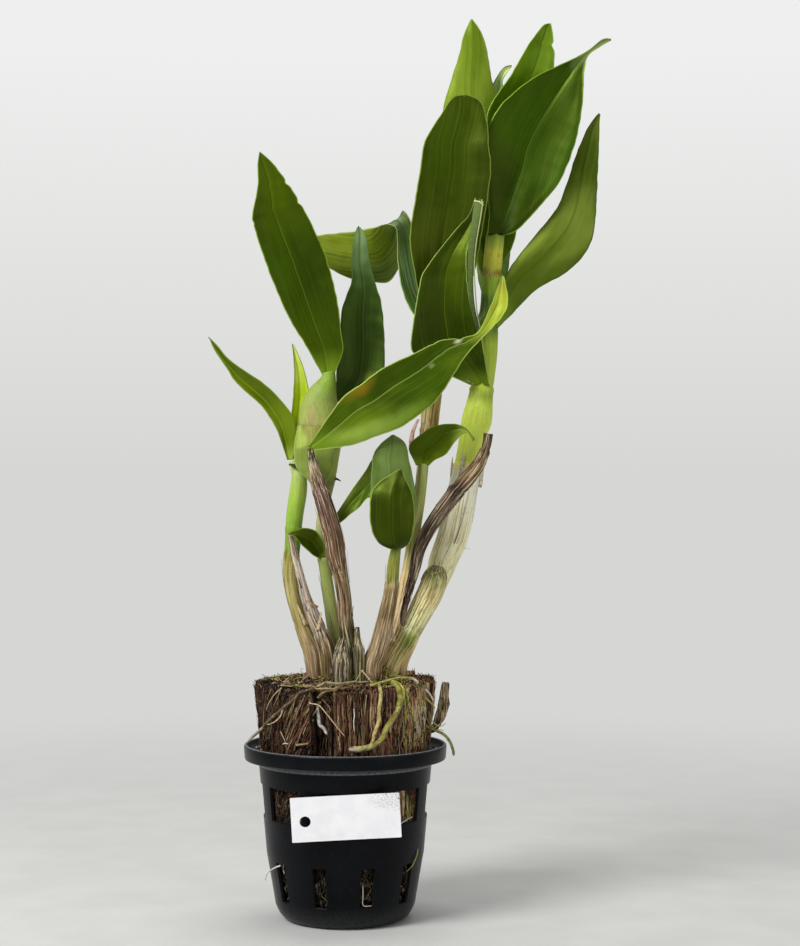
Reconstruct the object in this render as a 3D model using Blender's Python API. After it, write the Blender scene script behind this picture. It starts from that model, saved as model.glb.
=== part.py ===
"""A dendrobium orchid in its pot: canes, leaves, roots, a ring of husk chips, the pot and a blank tag.

Sizes are millimetres in the tables and become metres through MM. The origin is the middle of the pot's foot,
+Z is up, +X is the side that the canes lean to and -Y is the front, where the tag lies.
"""
import math
import random

import bmesh
import bpy
from mathutils import Vector
from mathutils.bvhtree import BVHTree

MM = 0.001
GAP = 0.3
WELD = 1e-7

# Pot
POT_HEIGHT = 93.5
POT_WALL = 1.6
POT_FLOOR = 2.0
POT_SIDES = 48
POT_OUTER = [(0, 30), (1.2, 33), (4, 35.6), (8, 37.5), (36, 42.3), (85.5, 46.7)]
LIP_UNDER = 85.5
LIP_RADIUS = 54.5
LIP_EDGE = 1.6
LEDGE_HEIGHT = 88.0
LEDGE_RADIUS = 50.5
WINDOW_COUNT = 8
WINDOW_SIZE = (23, 17.5)
WINDOW_MIDDLE = 64.2
SLOT_COUNT = 10
SLOT_SIZE = (7.2, 21)
SLOT_MIDDLE = 22.5
DRAIN_COUNT = 6
DRAIN_SIZE = (12, 3.6)
DRAIN_RADIUS = 19

# Tag on the front of the pot
LABEL_SIZE = (56.6, 0.8, 23.4)
LABEL_MIDDLE = (1.4, 61)
LABEL_TILT = 3
LABEL_HOLE_RADIUS = 2.85
LABEL_HOLE = (-21.1, -1.1)

# Fill, crown and husk ring
FILL_TOP = 45.8
HUSK_BASE = 46.2
CROWN_RADIUS = 35.8
CROWN_SIDES = 24
CROWN_TOP = [(35.8, 125), (31, 127.5), (24, 129.5), (14, 131), (5, 131)]
HUSK_INNER = 36.4
HUSK_OUTER = [(HUSK_BASE, 41.0), (85, 44.3), (88, 44.5), (93.5, 46), (126, 49)]
HUSK_LEVELS = [HUSK_BASE, 66, 87, 94, 105, 116]
HUSK_STEP = 9
HUSK_ROUGHNESS = 0.9
SET_BACK_SHARE = [(80, 0), (94, 1)]

# Each chip: start and end angle from the front towards +X, top height, how far its face stands back
HUSK_CHIPS = [
    (-84, -45, 126.5, 0),
    (-44, -21.5, 124.5, 0),
    (-20.5, -7, 119, 7),
    (-6, 16.5, 125, 0),
    (17.5, 40.5, 126, 0),
    (41.5, 67, 127, 0),
    (68, 81, 118, 7),
    (82, 128, 127, 0.5),
    (129, 176, 126, 0),
    (177, 222, 125.5, 0.5),
    (223, 275, 125.5, 0),
]

# Loose splinter at the right of the husk: outline in X and Z, and its span in Y
SPLINTER = [(45.4, 98), (49.5, 99.5), (53.6, 106), (56.5, 114), (55.6, 118), (56, 125.5), (52.3, 126), (49.6, 112)]
SPLINTER_SPAN = (4, 6.6)

# Canes: middle line from the crown to the tip, as x, y, z and radius
CANE_SIDES = 9
SHEATH_DEPTH = 7.5
CANES = {
    "cane_01": [(-15, -10, 118, 3.5), (-17, -10, 141, 4.2), (-21, -10, 152, 3.6), (-25, -9, 164, 3.4),
                (-28, -8, 175, 3.4), (-29, -7, 187, 3.8), (-28, -6, 202, 4.3), (-27, -6, 216, 4.6),
                (-25, -6, 230, 4.7), (-25, -6, 238, 3.8), (-28.5, -6, 246, 1.9)],
    "cane_02": [(-8, -17, 119, 3.6), (-9, -17, 142, 4.2), (-13, -17, 155, 3.7), (-17, -17, 164, 3.6),
                (-20, -17, 172, 2.4), (-25, -16, 190, 2.0), (-29, -16, 207, 1.4)],
    "cane_03": [(5, -17, 119, 3.2), (4, -18, 140, 3.5), (0.5, -20, 161, 3.9), (0, -21, 172, 3.9),
                (-1.5, -23, 183, 4), (-4, -25, 195, 5), (-6, -25, 207, 5), (-10, -25, 221, 4.5),
                (-13, -25, 231, 3.9), (-16, -25, 242, 2.8), (-18, -25, 252, 1.2)],
    "cane_04": [(-1, -1, 118, 3.2), (-2, -2, 141, 3.2), (-6, -3, 154, 3.2), (-9, -5, 176, 3),
                (-12, -7, 196, 2.7), (-13, -8, 209, 2.7), (-11, -8, 222, 2.7), (-7.5, -8, 236, 2.5),
                (-8, -7, 246, 4.8), (-10, -6, 254, 8.6), (-13, -6, 264, 11.6), (-13, -6, 277, 9.7),
                (-9, -7, 289, 4.3), (-9, -7, 293, 3.6)],
    "cane_05": [(-2, -28, 120, 3.7), (-1.5, -28, 137, 4.4), (-1, -28, 146, 3.2), (0, -28, 152, 1.1)],
    "cane_06": [(8, -26, 120, 2.5), (8, -26, 143, 2.5), (7, -26, 151, 1.6), (7, -26, 158, 0.8)],
    "cane_07": [(14, -22, 119, 4.2), (15, -22, 138, 4.7), (18, -23, 146, 4.5), (22, -25, 163, 4),
                (25, -28, 179, 3.4), (26, -31, 191, 3.2), (28, -33, 204, 2.2)],
    "cane_08": [(19, -4, 117, 3.2), (20, -4, 139, 3.2), (27, -6, 155, 3.2), (33, -9, 182, 3.3),
                (36, -11, 201, 3.2), (40, -14, 225, 2.7), (42, -15, 244, 2.6)],
    "cane_09": [(22, 6, 116, 3), (24, 6, 138, 3), (29, 5, 159, 2.7), (35, 4, 192, 2.7), (39, 3, 219, 2.7),
                (42, 3, 246, 2.8), (45, 4, 263, 4.6), (46, 4, 273, 5), (48, 5, 289, 4.8), (51, 6, 308, 3.3)],
    "cane_10": [(27, 15, 115, 4.3), (29, 14, 134, 4.3), (34, 13, 148, 4.8), (40, 10, 165, 5.4), (49, 6, 181, 6.5),
                (53, 5, 192, 7.5), (58, 4, 205, 8.1), (61, 4, 219, 8.1), (66, 4, 243, 7.3), (69, 4, 260, 7.4),
                (71, 4, 268, 8.3), (73, 4, 280, 6.8), (74, 4, 288, 6.3), (75, 4, 303, 7), (75, 4, 316, 7.5),
                (78, 4, 325, 5.7), (79, 5, 345, 5.1), (81, 5, 368, 5)],
    "cane_11": [(76.5, -13, 260, 2.4), (75, -13, 252, 2.4), (70, -14, 242, 3.7), (58, -16, 228, 4),
                (47, -18, 213, 3.7), (40, -19, 200, 3.2), (37, -19, 187, 2.6), (33, -18, 172, 1.7),
                (31, -17, 162, 1.6), (33, -16, 154, 1.6)],
    "cane_12": [(23, -14, 118, 4.4), (24, -14, 135, 4.8), (32, -14, 150, 5.4), (40, -14, 165, 6.1),
                (46, -14, 177, 6.8), (48.5, -14, 185, 5.8), (49.5, -14, 189.5, 2.6)],
}

# Leaves: both edges from base to tip, where the midrib lies between them, how far it is folded back
# (a minus brings it forward), and the canes that the base is shaped to
LEAF_THICKNESS = 0.9
LEAF_ROWS = 10
LEAVES = {
    "leaf_01": {
        "edge_a": [(-28, -6, 246), (-26, -8, 257), (-28, -10, 269), (-35, -10, 279), (-45, -10, 288),
                   (-61, -9, 299), (-68, -9, 307), (-73, -9, 312)],
        "edge_b": [(-31, -6, 246), (-34, -7, 255), (-37, -7, 263), (-45, -6, 275), (-58, -6, 287),
                   (-64, -7, 296), (-70, -8, 305), (-72.5, -9, 311)],
        "rib": 0.7, "fold": 0.18, "canes": ["cane_01"]},
    "leaf_02": {
        "edge_a": [(-30, -4.6, 247), (-30, 2, 260), (-29, 4, 273), (-28, 4, 289), (-28, 3, 299), (-29, 3, 309)],
        "edge_b": [(-27, -4.6, 247), (-23, 3, 260), (-20, 5, 273), (-20, 5, 284), (-23, 4, 297), (-28, 3, 308.5)],
        "rib": 0.45, "fold": 0.2, "canes": ["cane_01"]},
    "leaf_03": {
        "edge_a": [(-11, -10, 194), (-11, -13, 201), (-15, -15, 208), (-21, -18, 210), (-26, -20, 209),
                   (-30, -21, 207)],
        "edge_b": [(-13, -10, 193), (-18, -14, 196), (-23, -17, 201), (-26, -20, 205), (-29.5, -21, 206)],
        "rib": 0.5, "fold": 0.12, "canes": ["cane_04"]},
    "leaf_04": {
        "edge_a": [(-12, -8, 291), (-21, -10, 307), (-30, -11, 322), (-40, -13, 345), (-48, -15, 369),
                   (-49, -17, 376), (-46, -18, 391), (-46, -19, 402), (-45, -20, 409)],
        "edge_b": [(-6, -8, 291), (-1, -10, 304), (-2, -12, 315), (-4, -13, 331), (-9, -14, 351),
                   (-15, -15, 366), (-25, -17, 385), (-37, -19, 402), (-44, -20, 408.5)],
        "rib": 0.43, "fold": 0.14, "canes": ["cane_04"]},
    "leaf_05": {
        "edge_a": [(-25, -12, 264), (-27, -16, 253), (-26, -17, 243), (-22, -17, 238), (-16, -16, 231)],
        "edge_b": [(-8, -12, 264), (-5, -16, 254), (-6, -17, 243), (-9, -17, 235), (-15, -16, 230)],
        "rib": 0.5, "fold": -0.1, "canes": ["cane_04"]},
    "leaf_06": {
        "edge_a": [(-5, -4, 277), (-5, 1, 292), (-3, 3, 308), (-2, 4, 327), (3, 4, 343), (3, 4, 355), (5, 5, 369),
                   (7, 6, 373)],
        "edge_b": [(1, -3, 280), (16, 0, 284), (21, 2, 296), (20, 4, 327), (16, 5, 342), (13, 5, 353),
                   (11, 5, 367), (8, 6, 372)],
        "rib": 0.5, "fold": 0.16, "canes": ["cane_04"]},
    "leaf_07": {
        "edge_a": [(49, 6, 307), (35, 10, 328), (30, 12, 341), (28, 13, 356), (28, 13, 367), (27, 14, 373),
                   (23, 16, 375), (20, 18, 375), (16, 20, 374), (11, 21, 373), (5, 22, 372), (-4, 22, 371),
                   (-16, 19, 369), (-24, 16, 365)],
        "edge_b": [(53, 6, 307), (51, 12, 327), (46, 15, 339), (41, 18, 357), (37, 22, 371), (34, 27, 380),
                   (31, 32, 384), (32, 37, 375), (31, 38, 359), (24, 37, 346), (15, 35, 345), (4, 32, 346),
                   (-10, 25, 352), (-24, 17, 362)],
        "rib": 0.5, "fold": 0.06, "canes": ["cane_09"], "rows": 18, "in_step": True},
    "leaf_08": {
        "edge_a": [(-19, -26, 253), (-12, -30, 263), (-1, -34, 278), (10, -36, 286), (21, -37, 294), (36, -37, 301),
                   (50, -36, 308), (63, -34, 310), (71, -32, 314), (79, -31, 332), (83, -30, 343)],
        "edge_b": [(-16, -26, 251), (-5, -31, 252), (6, -34, 254), (17, -36, 258), (30, -36, 263), (43, -36, 272),
                   (51, -36, 280), (63, -36, 299), (71, -35, 308), (83, -33, 321), (86, -32, 329), (84, -30, 342)],
        "rib": 0.36, "fold": 0.12, "canes": ["cane_03"]},
    "leaf_09": {
        "edge_a": [(25, -35, 199), (18, -40, 203), (14, -42, 212), (14, -43, 226), (17, -42, 233), (24, -41, 238),
                   (29, -40, 241)],
        "edge_b": [(31, -35, 200), (35, -40, 204), (37, -42, 215), (36, -43, 227), (33, -42, 235), (30.5, -40, 240)],
        "rib": 0.5, "fold": -0.15, "canes": ["cane_07"]},
    "leaf_10": {
        "edge_a": [(26, -30, 202), (19, -28, 210), (14, -28, 221), (14, -28, 230), (15, -27, 247), (19, -27, 254),
                   (25, -26, 259)],
        "edge_b": [(30, -30, 202), (36, -28, 210), (38, -28, 221), (37, -28, 232), (34, -27, 247), (32, -27, 255),
                   (26.5, -26, 259)],
        "rib": 0.5, "fold": -0.1, "canes": ["cane_07"]},
    "leaf_11": {
        "edge_a": [(29, -30, 198), (32, -24, 213), (32, -22, 231), (25, -21, 245), (16, -19, 247), (11, -17, 240),
                   (3, -16, 229), (-4, -15, 218), (-7, -15, 213.5)],
        "edge_b": [(26, -30, 198), (21, -24, 208), (18, -22, 217), (17, -21, 223), (13, -19, 226), (8, -17, 221),
                   (3, -16, 217), (-3, -15, 212), (-6, -15, 211.5)],
        "rib": 0.5, "fold": 0.12, "canes": ["cane_07"]},
    "leaf_12": {
        "edge_a": [(38, -17, 243), (34, -19, 253), (41, -20, 260), (48, -21, 264), (57, -22, 265), (64, -23, 263),
                   (69, -23, 257)],
        "edge_b": [(45, -17, 243), (48, -19, 246), (54, -20, 249), (58, -21, 255), (62, -22, 259), (65, -23, 260),
                   (68, -23, 255.5)],
        "rib": 0.45, "fold": 0.12, "canes": ["cane_08"]},
    "leaf_13": {
        "edge_a": [(48, 3, 308), (42, -3, 321), (38, -8, 341), (35, -10, 358), (35, -10, 370), (40, -10, 401),
                   (42, -10, 414), (45, -10, 421), (51, -10, 430), (57, -9, 439), (62, -8, 441)],
        "edge_b": [(54, 3, 308), (63, -3, 324), (69, -8, 345), (73, -10, 366), (76, -11, 384), (78, -11, 401),
                   (77, -11, 412), (76, -10, 426), (73, -9, 437), (65, -8, 441.5)],
        "rib": 0.45, "fold": 0.1, "canes": ["cane_09"]},
    "leaf_14": {
        "edge_a": [(68, -3, 286), (51, -16, 293), (38, -20, 301), (35, -22, 307), (37, -23, 323), (40, -23, 340),
                   (43, -23, 347), (51, -22, 358), (59, -21, 368), (66, -19, 376), (69, -18, 385)],
        "edge_b": [(78, -3, 285), (74, -16, 304), (72, -19, 316), (67, -20, 328), (65, -21, 342), (65, -21, 356),
                   (69, -20, 366), (72, -18, 376), (73, -18, 384)],
        "rib": 0.55, "fold": 0.2, "canes": ["cane_10"]},
    "leaf_15": {
        "edge_a": [(76, -0.5, 367), (77, -4, 379), (76, -6, 396), (76, -6, 412), (77, -6, 425), (85, -6, 438),
                   (101, -6, 451), (115, -5, 458), (129, -4, 465), (138, -3, 472), (143, -2, 472.5)],
        "edge_b": [(85, -0.5, 367), (93, -3, 370), (108, -6, 386), (116, -7, 397), (123, -8, 415), (127, -8, 435),
                   (128, -7, 451), (130, -5, 462), (137, -3, 468), (143, -2, 471.5)],
        "rib": 0.5, "fold": 0.12, "canes": ["cane_10"]},
    "leaf_16": {
        "edge_a": [(77, 9, 353), (72, 11, 363), (71, 11, 379), (73, 10, 404), (76, 9, 425), (78, 9, 438),
                   (90, 9, 456), (98, 9, 470), (103, 8, 477), (107, 8, 482), (110, 8, 483)],
        "edge_b": [(85, 9, 353), (91, 11, 363), (95, 11, 382), (103, 11, 415), (108, 11, 436), (113, 10, 459),
                   (113, 9, 472), (111.5, 8, 483)],
        "rib": 0.5, "fold": 0.14, "canes": ["cane_10"]},
    "leaf_17": {
        "edge_a": [(77, 10.5, 337), (69, 18, 361), (59, 21, 388), (55, 22, 416), (53, 21, 438), (58, 20, 456),
                   (62, 18, 469), (64, 17, 478), (68, 16, 487)],
        "edge_b": [(81, 10.5, 337), (84, 18, 361), (84, 21, 388), (84, 22, 416), (84, 21, 440), (80, 20, 454),
                   (77, 18, 471), (74, 17, 480), (69, 16, 487)],
        "rib": 0.5, "fold": -0.1, "canes": ["cane_10"]},
    "leaf_18": {
        "edge_a": [(77, 10.5, 327), (72, 20, 347), (71, 27, 372), (72, 29, 406), (74, 29, 433), (79, 28, 450),
                   (83, 27, 458), (87, 26, 463), (91, 26, 464)],
        "edge_b": [(81, 10.5, 327), (88, 20, 347), (91, 27, 372), (91, 29, 406), (89, 29, 433), (87, 28, 450),
                   (86, 27, 455), (88, 26, 459), (91, 26, 463)],
        "rib": 0.5, "fold": 0.12, "canes": ["cane_10"]},
    "leaf_19": {
        "edge_a": [(80, -1, 320), (83, -1, 337), (89, 2, 350), (102, 4, 367), (114, 5, 382), (120, 5, 397),
                   (125, 6, 412), (131, 6, 426), (137, 6, 434)],
        "edge_b": [(82, 1, 317), (90, 2, 325), (103, 4, 338), (120, 5, 348), (131, 6, 360), (135, 6, 374),
                   (137, 7, 409), (137.5, 6, 429), (138, 6, 433)],
        "rib": 0.42, "fold": -0.1, "canes": ["cane_10"]},
}

# Roots: points on the husk's face are (x, z), points off it are (x, y, z)
ROOT_SIDES = 8
ROOTS = {
    "root_01": {"radius": 1.55, "set_back": 0, "path": [
        (21, -22, 129.5), (26, -33, 129), (28.5, -39, 127.5), (29.5, 121), (27.5, 114.5), (24.5, 110), (22, 106),
        (20, 101.6), (17, 99), (13.5, 97.2), (9, 96.4), (3, 96.4)]},
    "root_02": {"radius": 1.0, "set_back": 0, "path": [
        (17, -30, 129), (19, -40, 127.6), (19.4, 123), (18.5, 116.5), (18.5, 111), (17, 106.7), (15.6, 103)]},
    "root_03": {"radius": 0.9, "set_back": 7, "path": [
        (-12, -36, 119.2), (-13.5, 116.5), (-13, 113), (-12.4, 108.3), (-10, 106.2), (-8.5, 103)]},
    "root_04": {"radius": 0.8, "set_back": 0, "path": [
        (-9, -31, 127.5), (-15, -39, 126.6), (-22, -41, 125.2), (-26, 121.5), (-31, 117), (-40.4, 108), (-43, 104.5),
        (-47.5, -21, 100.5), (-51, -19.5, 97.5)]},
    "root_05": {"radius": 0.8, "set_back": 7, "path": [
        (37, -13, 105.5), (43, -14, 104.5), (48, -14, 102.3), (52.8, -14.3, 99.9), (55.6, -14.8, 96.7),
        (57.4, -15, 92.5), (58, -15, 88.7)]},
}


def clear_scene():
    """Leave the file without objects."""
    for item in list(bpy.data.objects):
        bpy.data.objects.remove(item, do_unlink=True)


def make_material(name, colour, roughness):
    """A plain Principled material with the piece's own colour."""
    material = bpy.data.materials.new(name)
    material.use_nodes = True
    shader = material.node_tree.nodes["Principled BSDF"]
    shader.inputs["Base Color"].default_value = (*colour, 1)
    shader.inputs["Roughness"].default_value = roughness
    return material


def make_object(name, points, faces, material=None):
    """A mesh object from points in millimetres."""
    mesh = bpy.data.meshes.new(name)
    mesh.from_pydata([tuple(value * MM for value in point) for point in points], [], faces)
    mesh.update()
    item = bpy.data.objects.new(name, mesh)
    bpy.context.collection.objects.link(item)
    if material:
        mesh.materials.append(material)
    mesh.shade_smooth()
    mesh.set_sharp_from_angle(angle=math.radians(40))
    return item


def blend(table, height):
    """Straight-line reading of a table of (height, value) rows."""
    for (low, first), (high, second) in zip(table, table[1:]):
        if height <= high:
            share = max(0, (height - low) / (high - low))
            return first + (second - first) * share
    return table[-1][1]


def smooth_path(points, count):
    """Points evenly spaced along a smooth curve through the given ones; extra columns go along."""
    fine = []
    steps = 12
    rows = [points[0], *points, points[-1]]
    for before, start, end, after in zip(rows, rows[1:], rows[2:], rows[3:]):
        for step in range(steps):
            t = step / steps
            weights = (-t + 2 * t**2 - t**3, 2 - 5 * t**2 + 3 * t**3, t + 4 * t**2 - 3 * t**3, t**3 - t**2)
            fine.append([sum(w * row[axis] for w, row in zip(weights, (before, start, end, after))) / 2
                         for axis in range(len(start))])
    fine.append(list(points[-1]))
    lengths = [0]
    for first, second in zip(fine, fine[1:]):
        lengths.append(lengths[-1] + (Vector(second[:3]) - Vector(first[:3])).length)
    result = []
    place = 0
    for index in range(count + 1):
        target = lengths[-1] * index / count
        while place < len(fine) - 2 and lengths[place + 1] < target:
            place += 1
        span = lengths[place + 1] - lengths[place]
        share = (target - lengths[place]) / span if span else 0
        result.append([a + (b - a) * share for a, b in zip(fine[place], fine[place + 1])])
    return result


def tube(name, stations, sides, material=None, grow=0.0, depth_limit=math.inf):
    """A closed tube through stations of x, y, z and radius, made fatter and longer by grow."""
    rows = smooth_path(stations, round(len(stations) * 1.5))
    middles = [Vector(row[:3]) for row in rows]
    tangents = [(middles[min(i + 1, len(rows) - 1)] - middles[max(i - 1, 0)]).normalized()
                for i in range(len(rows))]
    side = tangents[0].cross(Vector((0, 1, 0))).normalized()
    points = []
    for index, (middle, tangent, row) in enumerate(zip(middles, tangents, rows)):
        side = (side - tangent * side.dot(tangent)).normalized()
        other = tangent.cross(side)
        centre = middle.copy()
        if index == 0:
            centre -= tangent * grow
        if index == len(rows) - 1:
            centre += tangent * grow
        for corner in range(sides):
            turn = math.tau * corner / sides
            offset = (side * math.cos(turn) + other * math.sin(turn)) * row[3]
            offset.y *= min(1, depth_limit / row[3])
            points.append(centre + offset + offset.normalized() * grow)
    faces = []
    for ring in range(len(rows) - 1):
        for corner in range(sides):
            a = ring * sides + corner
            b = ring * sides + (corner + 1) % sides
            faces.append((a, b, b + sides, a + sides))
    last = (len(rows) - 1) * sides
    faces.append(tuple(reversed(range(sides))))
    faces.append(tuple(range(last, last + sides)))
    return make_object(name, points, faces, material)


def split_faces(item):
    """Split every face into triangles, so that rough faces are flat before they are cut."""
    work = bmesh.new()
    work.from_mesh(item.data)
    bmesh.ops.triangulate(work, faces=work.faces)
    work.to_mesh(item.data)
    work.free()


def apply_modifier(item, modifier):
    """Put the modifier's result into the object's own mesh and take the modifier off."""
    bpy.context.view_layer.update()
    graph = bpy.context.evaluated_depsgraph_get()
    mesh = bpy.data.meshes.new_from_object(item.evaluated_get(graph))
    item.modifiers.remove(modifier)
    old = item.data
    mesh.name = old.name
    item.data = mesh
    bpy.data.meshes.remove(old)


def subtract(item, cutter):
    """Cut the cutter's shape out of the item and remove the cutter."""
    modifier = item.modifiers.new("cut", "BOOLEAN")
    modifier.operation = "DIFFERENCE"
    modifier.solver = "EXACT"
    modifier.object = cutter
    apply_modifier(item, modifier)
    bpy.data.objects.remove(cutter, do_unlink=True)


def keep_largest(item):
    """Drop the loose scraps that a cut leaves, and merge points that fall together."""
    work = bmesh.new()
    work.from_mesh(item.data)
    bmesh.ops.remove_doubles(work, verts=work.verts, dist=WELD)
    groups = []
    seen = set()
    for start in work.verts:
        if start in seen:
            continue
        group = {start}
        front = [start]
        while front:
            vertex = front.pop()
            for edge in vertex.link_edges:
                other = edge.other_vert(vertex)
                if other not in group:
                    group.add(other)
                    front.append(other)
        seen |= group
        groups.append(group)
    largest = max(groups, key=len)
    bmesh.ops.delete(work, geom=[vertex for vertex in work.verts if vertex not in largest], context="VERTS")
    work.to_mesh(item.data)
    work.free()


def touches(first, second):
    """Whether the surfaces of two objects meet."""
    trees = []
    for item in (first, second):
        work = bmesh.new()
        work.from_mesh(item.data)
        bmesh.ops.triangulate(work, faces=work.faces)
        trees.append(BVHTree.FromBMesh(work))
        work.free()
    return bool(trees[0].overlap(trees[1]))


def pot_outer(height):
    return blend(POT_OUTER, height)


def husk_outer(height):
    return blend(HUSK_OUTER, height)


def around(radius, degrees, height):
    """A point by its angle from the front, turning towards +X."""
    turn = math.radians(degrees)
    return Vector((radius * math.sin(turn), -radius * math.cos(turn), height))


def turned_solid(name, profile, sides, material):
    """A closed solid turned round Z from (radius, height) rows that start and end on the axis."""
    points = [Vector((0, 0, profile[0][1]))]
    for radius, height in profile[1:-1]:
        points += [around(radius, 360 * side / sides, height) for side in range(sides)]
    points.append(Vector((0, 0, profile[-1][1])))
    faces = []
    rings = len(profile) - 2
    for side in range(sides):
        after = (side + 1) % sides
        faces.append((0, 1 + after, 1 + side))
        for ring in range(rings - 1):
            low = 1 + ring * sides
            high = low + sides
            faces.append((low + side, low + after, high + after, high + side))
        last = 1 + (rings - 1) * sides
        faces.append((last + side, last + after, len(points) - 1))
    return make_object(name, points, faces, material)


def box_cutter(size, middle, turn, lean=0.0):
    """A box to cut with: size across, radial and up, its middle, and its turn about Z."""
    bpy.ops.mesh.primitive_cube_add(size=1)
    item = bpy.context.object
    item.scale = [value * MM for value in size]
    item.rotation_euler = (lean, 0, math.radians(turn))
    item.location = middle * MM
    item.hide_render = True
    item.display_type = "WIRE"
    bpy.context.view_layer.update()
    return item


def build_pot():
    """The pot: a thin turned wall with a stepped lip, windows, slots and drain holes."""
    outside = [(radius, height) for height, radius in POT_OUTER]
    lip = [(LIP_RADIUS - 1.0, LIP_UNDER), (LIP_RADIUS, POT_HEIGHT - 0.8), (LIP_RADIUS - 0.6, POT_HEIGHT),
           (LIP_RADIUS - LIP_EDGE, POT_HEIGHT), (LIP_RADIUS - LIP_EDGE - 0.6, POT_HEIGHT - 3),
           (LEDGE_RADIUS, LEDGE_HEIGHT + 1.5)]
    inside = [(pot_outer(height) - POT_WALL, height) for height in (LEDGE_HEIGHT - 0.5, 36, 8, POT_FLOOR + 1.5)]
    inside.append((pot_outer(1.2) - POT_WALL, POT_FLOOR))
    profile = [(0, 0), *outside, *lip, *inside, (0, POT_FLOOR)]
    pot = turned_solid("pot", profile, POT_SIDES, make_material("pot_plastic", (0.012, 0.014, 0.018), 0.42))
    for index in range(WINDOW_COUNT):
        turn = 360 * index / WINDOW_COUNT
        across, tall = WINDOW_SIZE
        subtract(pot, box_cutter((across, 12, tall), around(44, turn, WINDOW_MIDDLE), turn))
    for index in range(SLOT_COUNT):
        turn = 360 * (index + 0.5) / SLOT_COUNT
        across, tall = SLOT_SIZE
        subtract(pot, box_cutter((across, 10, tall), around(40.5, turn, SLOT_MIDDLE), turn))
    for index in range(DRAIN_COUNT):
        turn = 360 * index / DRAIN_COUNT
        radial, across = DRAIN_SIZE
        subtract(pot, box_cutter((across, radial, 8), around(DRAIN_RADIUS, turn, 1), turn))
    keep_largest(pot)


def build_label():
    """The blank tag, tilted a little and lying against the front of the pot."""
    across, thick, tall = LABEL_SIZE
    slope = math.atan((pot_outer(85.5) - pot_outer(36)) / (85.5 - 36))
    tilt = math.radians(LABEL_TILT)
    stand = pot_outer(LABEL_MIDDLE[1]) + (GAP + thick / 2) / math.cos(slope)
    sides = 16
    rim = [(math.cos(math.tau * i / sides) * LABEL_HOLE_RADIUS + LABEL_HOLE[0],
            math.sin(math.tau * i / sides) * LABEL_HOLE_RADIUS + LABEL_HOLE[1]) for i in range(sides)]
    corners = [(across / 2, tall / 2), (-across / 2, tall / 2), (-across / 2, -tall / 2), (across / 2, -tall / 2)]
    outline = rim + corners
    points = []
    for depth in (-thick / 2, thick / 2):
        for u, v in outline:
            x = u * math.cos(tilt) - v * math.sin(tilt)
            z = u * math.sin(tilt) + v * math.cos(tilt)
            points.append((LABEL_MIDDLE[0] + x, -stand + depth - z * math.tan(slope), LABEL_MIDDLE[1] + z))
    count = len(outline)
    quarter = sides // 4
    face = []
    for index in range(4):
        corner = sides + index
        for step in range(quarter):
            first = index * quarter + step
            face.append((corner, (first + 1) % sides, first))
        face.append((corner, sides + (index + 1) % 4, (index + 1) * quarter % sides))
    faces = [tuple(reversed(tri)) for tri in face] + [tuple(i + count for i in tri) for tri in face]
    faces += [(i, (i + 1) % sides, (i + 1) % sides + count, i + count) for i in range(sides)]
    for index in range(4):
        a = sides + index
        b = sides + (index + 1) % 4
        faces.append((b, a, a + count, b + count))
    label = make_object("plant_label", points, faces, make_material("label_plastic", (0.85, 0.85, 0.87), 0.35))
    tidy = bmesh.new()
    tidy.from_mesh(label.data)
    bmesh.ops.recalc_face_normals(tidy, faces=tidy.faces)
    tidy.to_mesh(label.data)
    tidy.free()


def build_fill():
    """The coarse fill in the lower pot, kept off the wall and the floor."""
    clear = GAP + 0.25
    profile = [(0, POT_FLOOR + GAP), (pot_outer(1.2) - POT_WALL - clear - 1, POT_FLOOR + GAP)]
    for height in (POT_FLOOR + 2, 8, 20, 36, FILL_TOP - 2):
        profile.append((pot_outer(height) - POT_WALL - clear, height))
    profile += [(pot_outer(FILL_TOP) - POT_WALL - clear - 2, FILL_TOP), (0, FILL_TOP)]
    turned_solid("potting_fill", profile, POT_SIDES // 2, make_material("fill_bark", (0.03, 0.022, 0.016), 0.9))


def build_crown():
    """The mass of roots and moss in the middle of the husk ring, with a rough domed top."""
    profile = [(0, HUSK_BASE), (CROWN_RADIUS, HUSK_BASE), (CROWN_RADIUS, 94), *CROWN_TOP, (0, 131)]
    crown = turned_solid("root_crown", profile, CROWN_SIDES, make_material("root_mass", (0.11, 0.09, 0.04), 0.9))
    draw = random.Random(4)
    for vertex in crown.data.vertices:
        if vertex.co.z > 126 * MM:
            vertex.co.z += draw.uniform(-1.2, 1.2) * MM
    split_faces(crown)
    return crown


def build_chip(number, start, end, top, set_back, material):
    """One upright husk chip: a sector of the ring with a rough face and top."""
    draw = random.Random(100 + number)
    columns = max(2, round((end - start) / HUSK_STEP))
    angles = [start + (end - start) * column / columns for column in range(columns + 1)]
    levels = [level for level in HUSK_LEVELS if level < top - 3] + [top]
    points = []
    for level in levels:
        radius = husk_outer(level) - set_back * blend(SET_BACK_SHARE, level)
        face = [around(radius - draw.uniform(0, HUSK_ROUGHNESS), angle, level) for angle in angles]
        back = [around(HUSK_INNER, angle, level) for angle in angles]
        if level == top:
            for point in face + back:
                point.z += draw.uniform(-1.3, 1.3)
        points += face + back[::-1]
    ring = 2 * (columns + 1)
    faces = []
    for row in range(len(levels) - 1):
        for index in range(ring):
            a = row * ring + index
            b = row * ring + (index + 1) % ring
            faces.append((a, b, b + ring, a + ring))
    last = (len(levels) - 1) * ring
    for column in range(columns):
        opposite = ring - 1 - column
        faces.append((column + 1, column, opposite, opposite - 1))
        faces.append((last + column, last + column + 1, last + opposite - 1, last + opposite))
    chip = make_object(f"husk_chip_{number:02d}", points, faces, material)
    split_faces(chip)
    return chip


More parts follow.
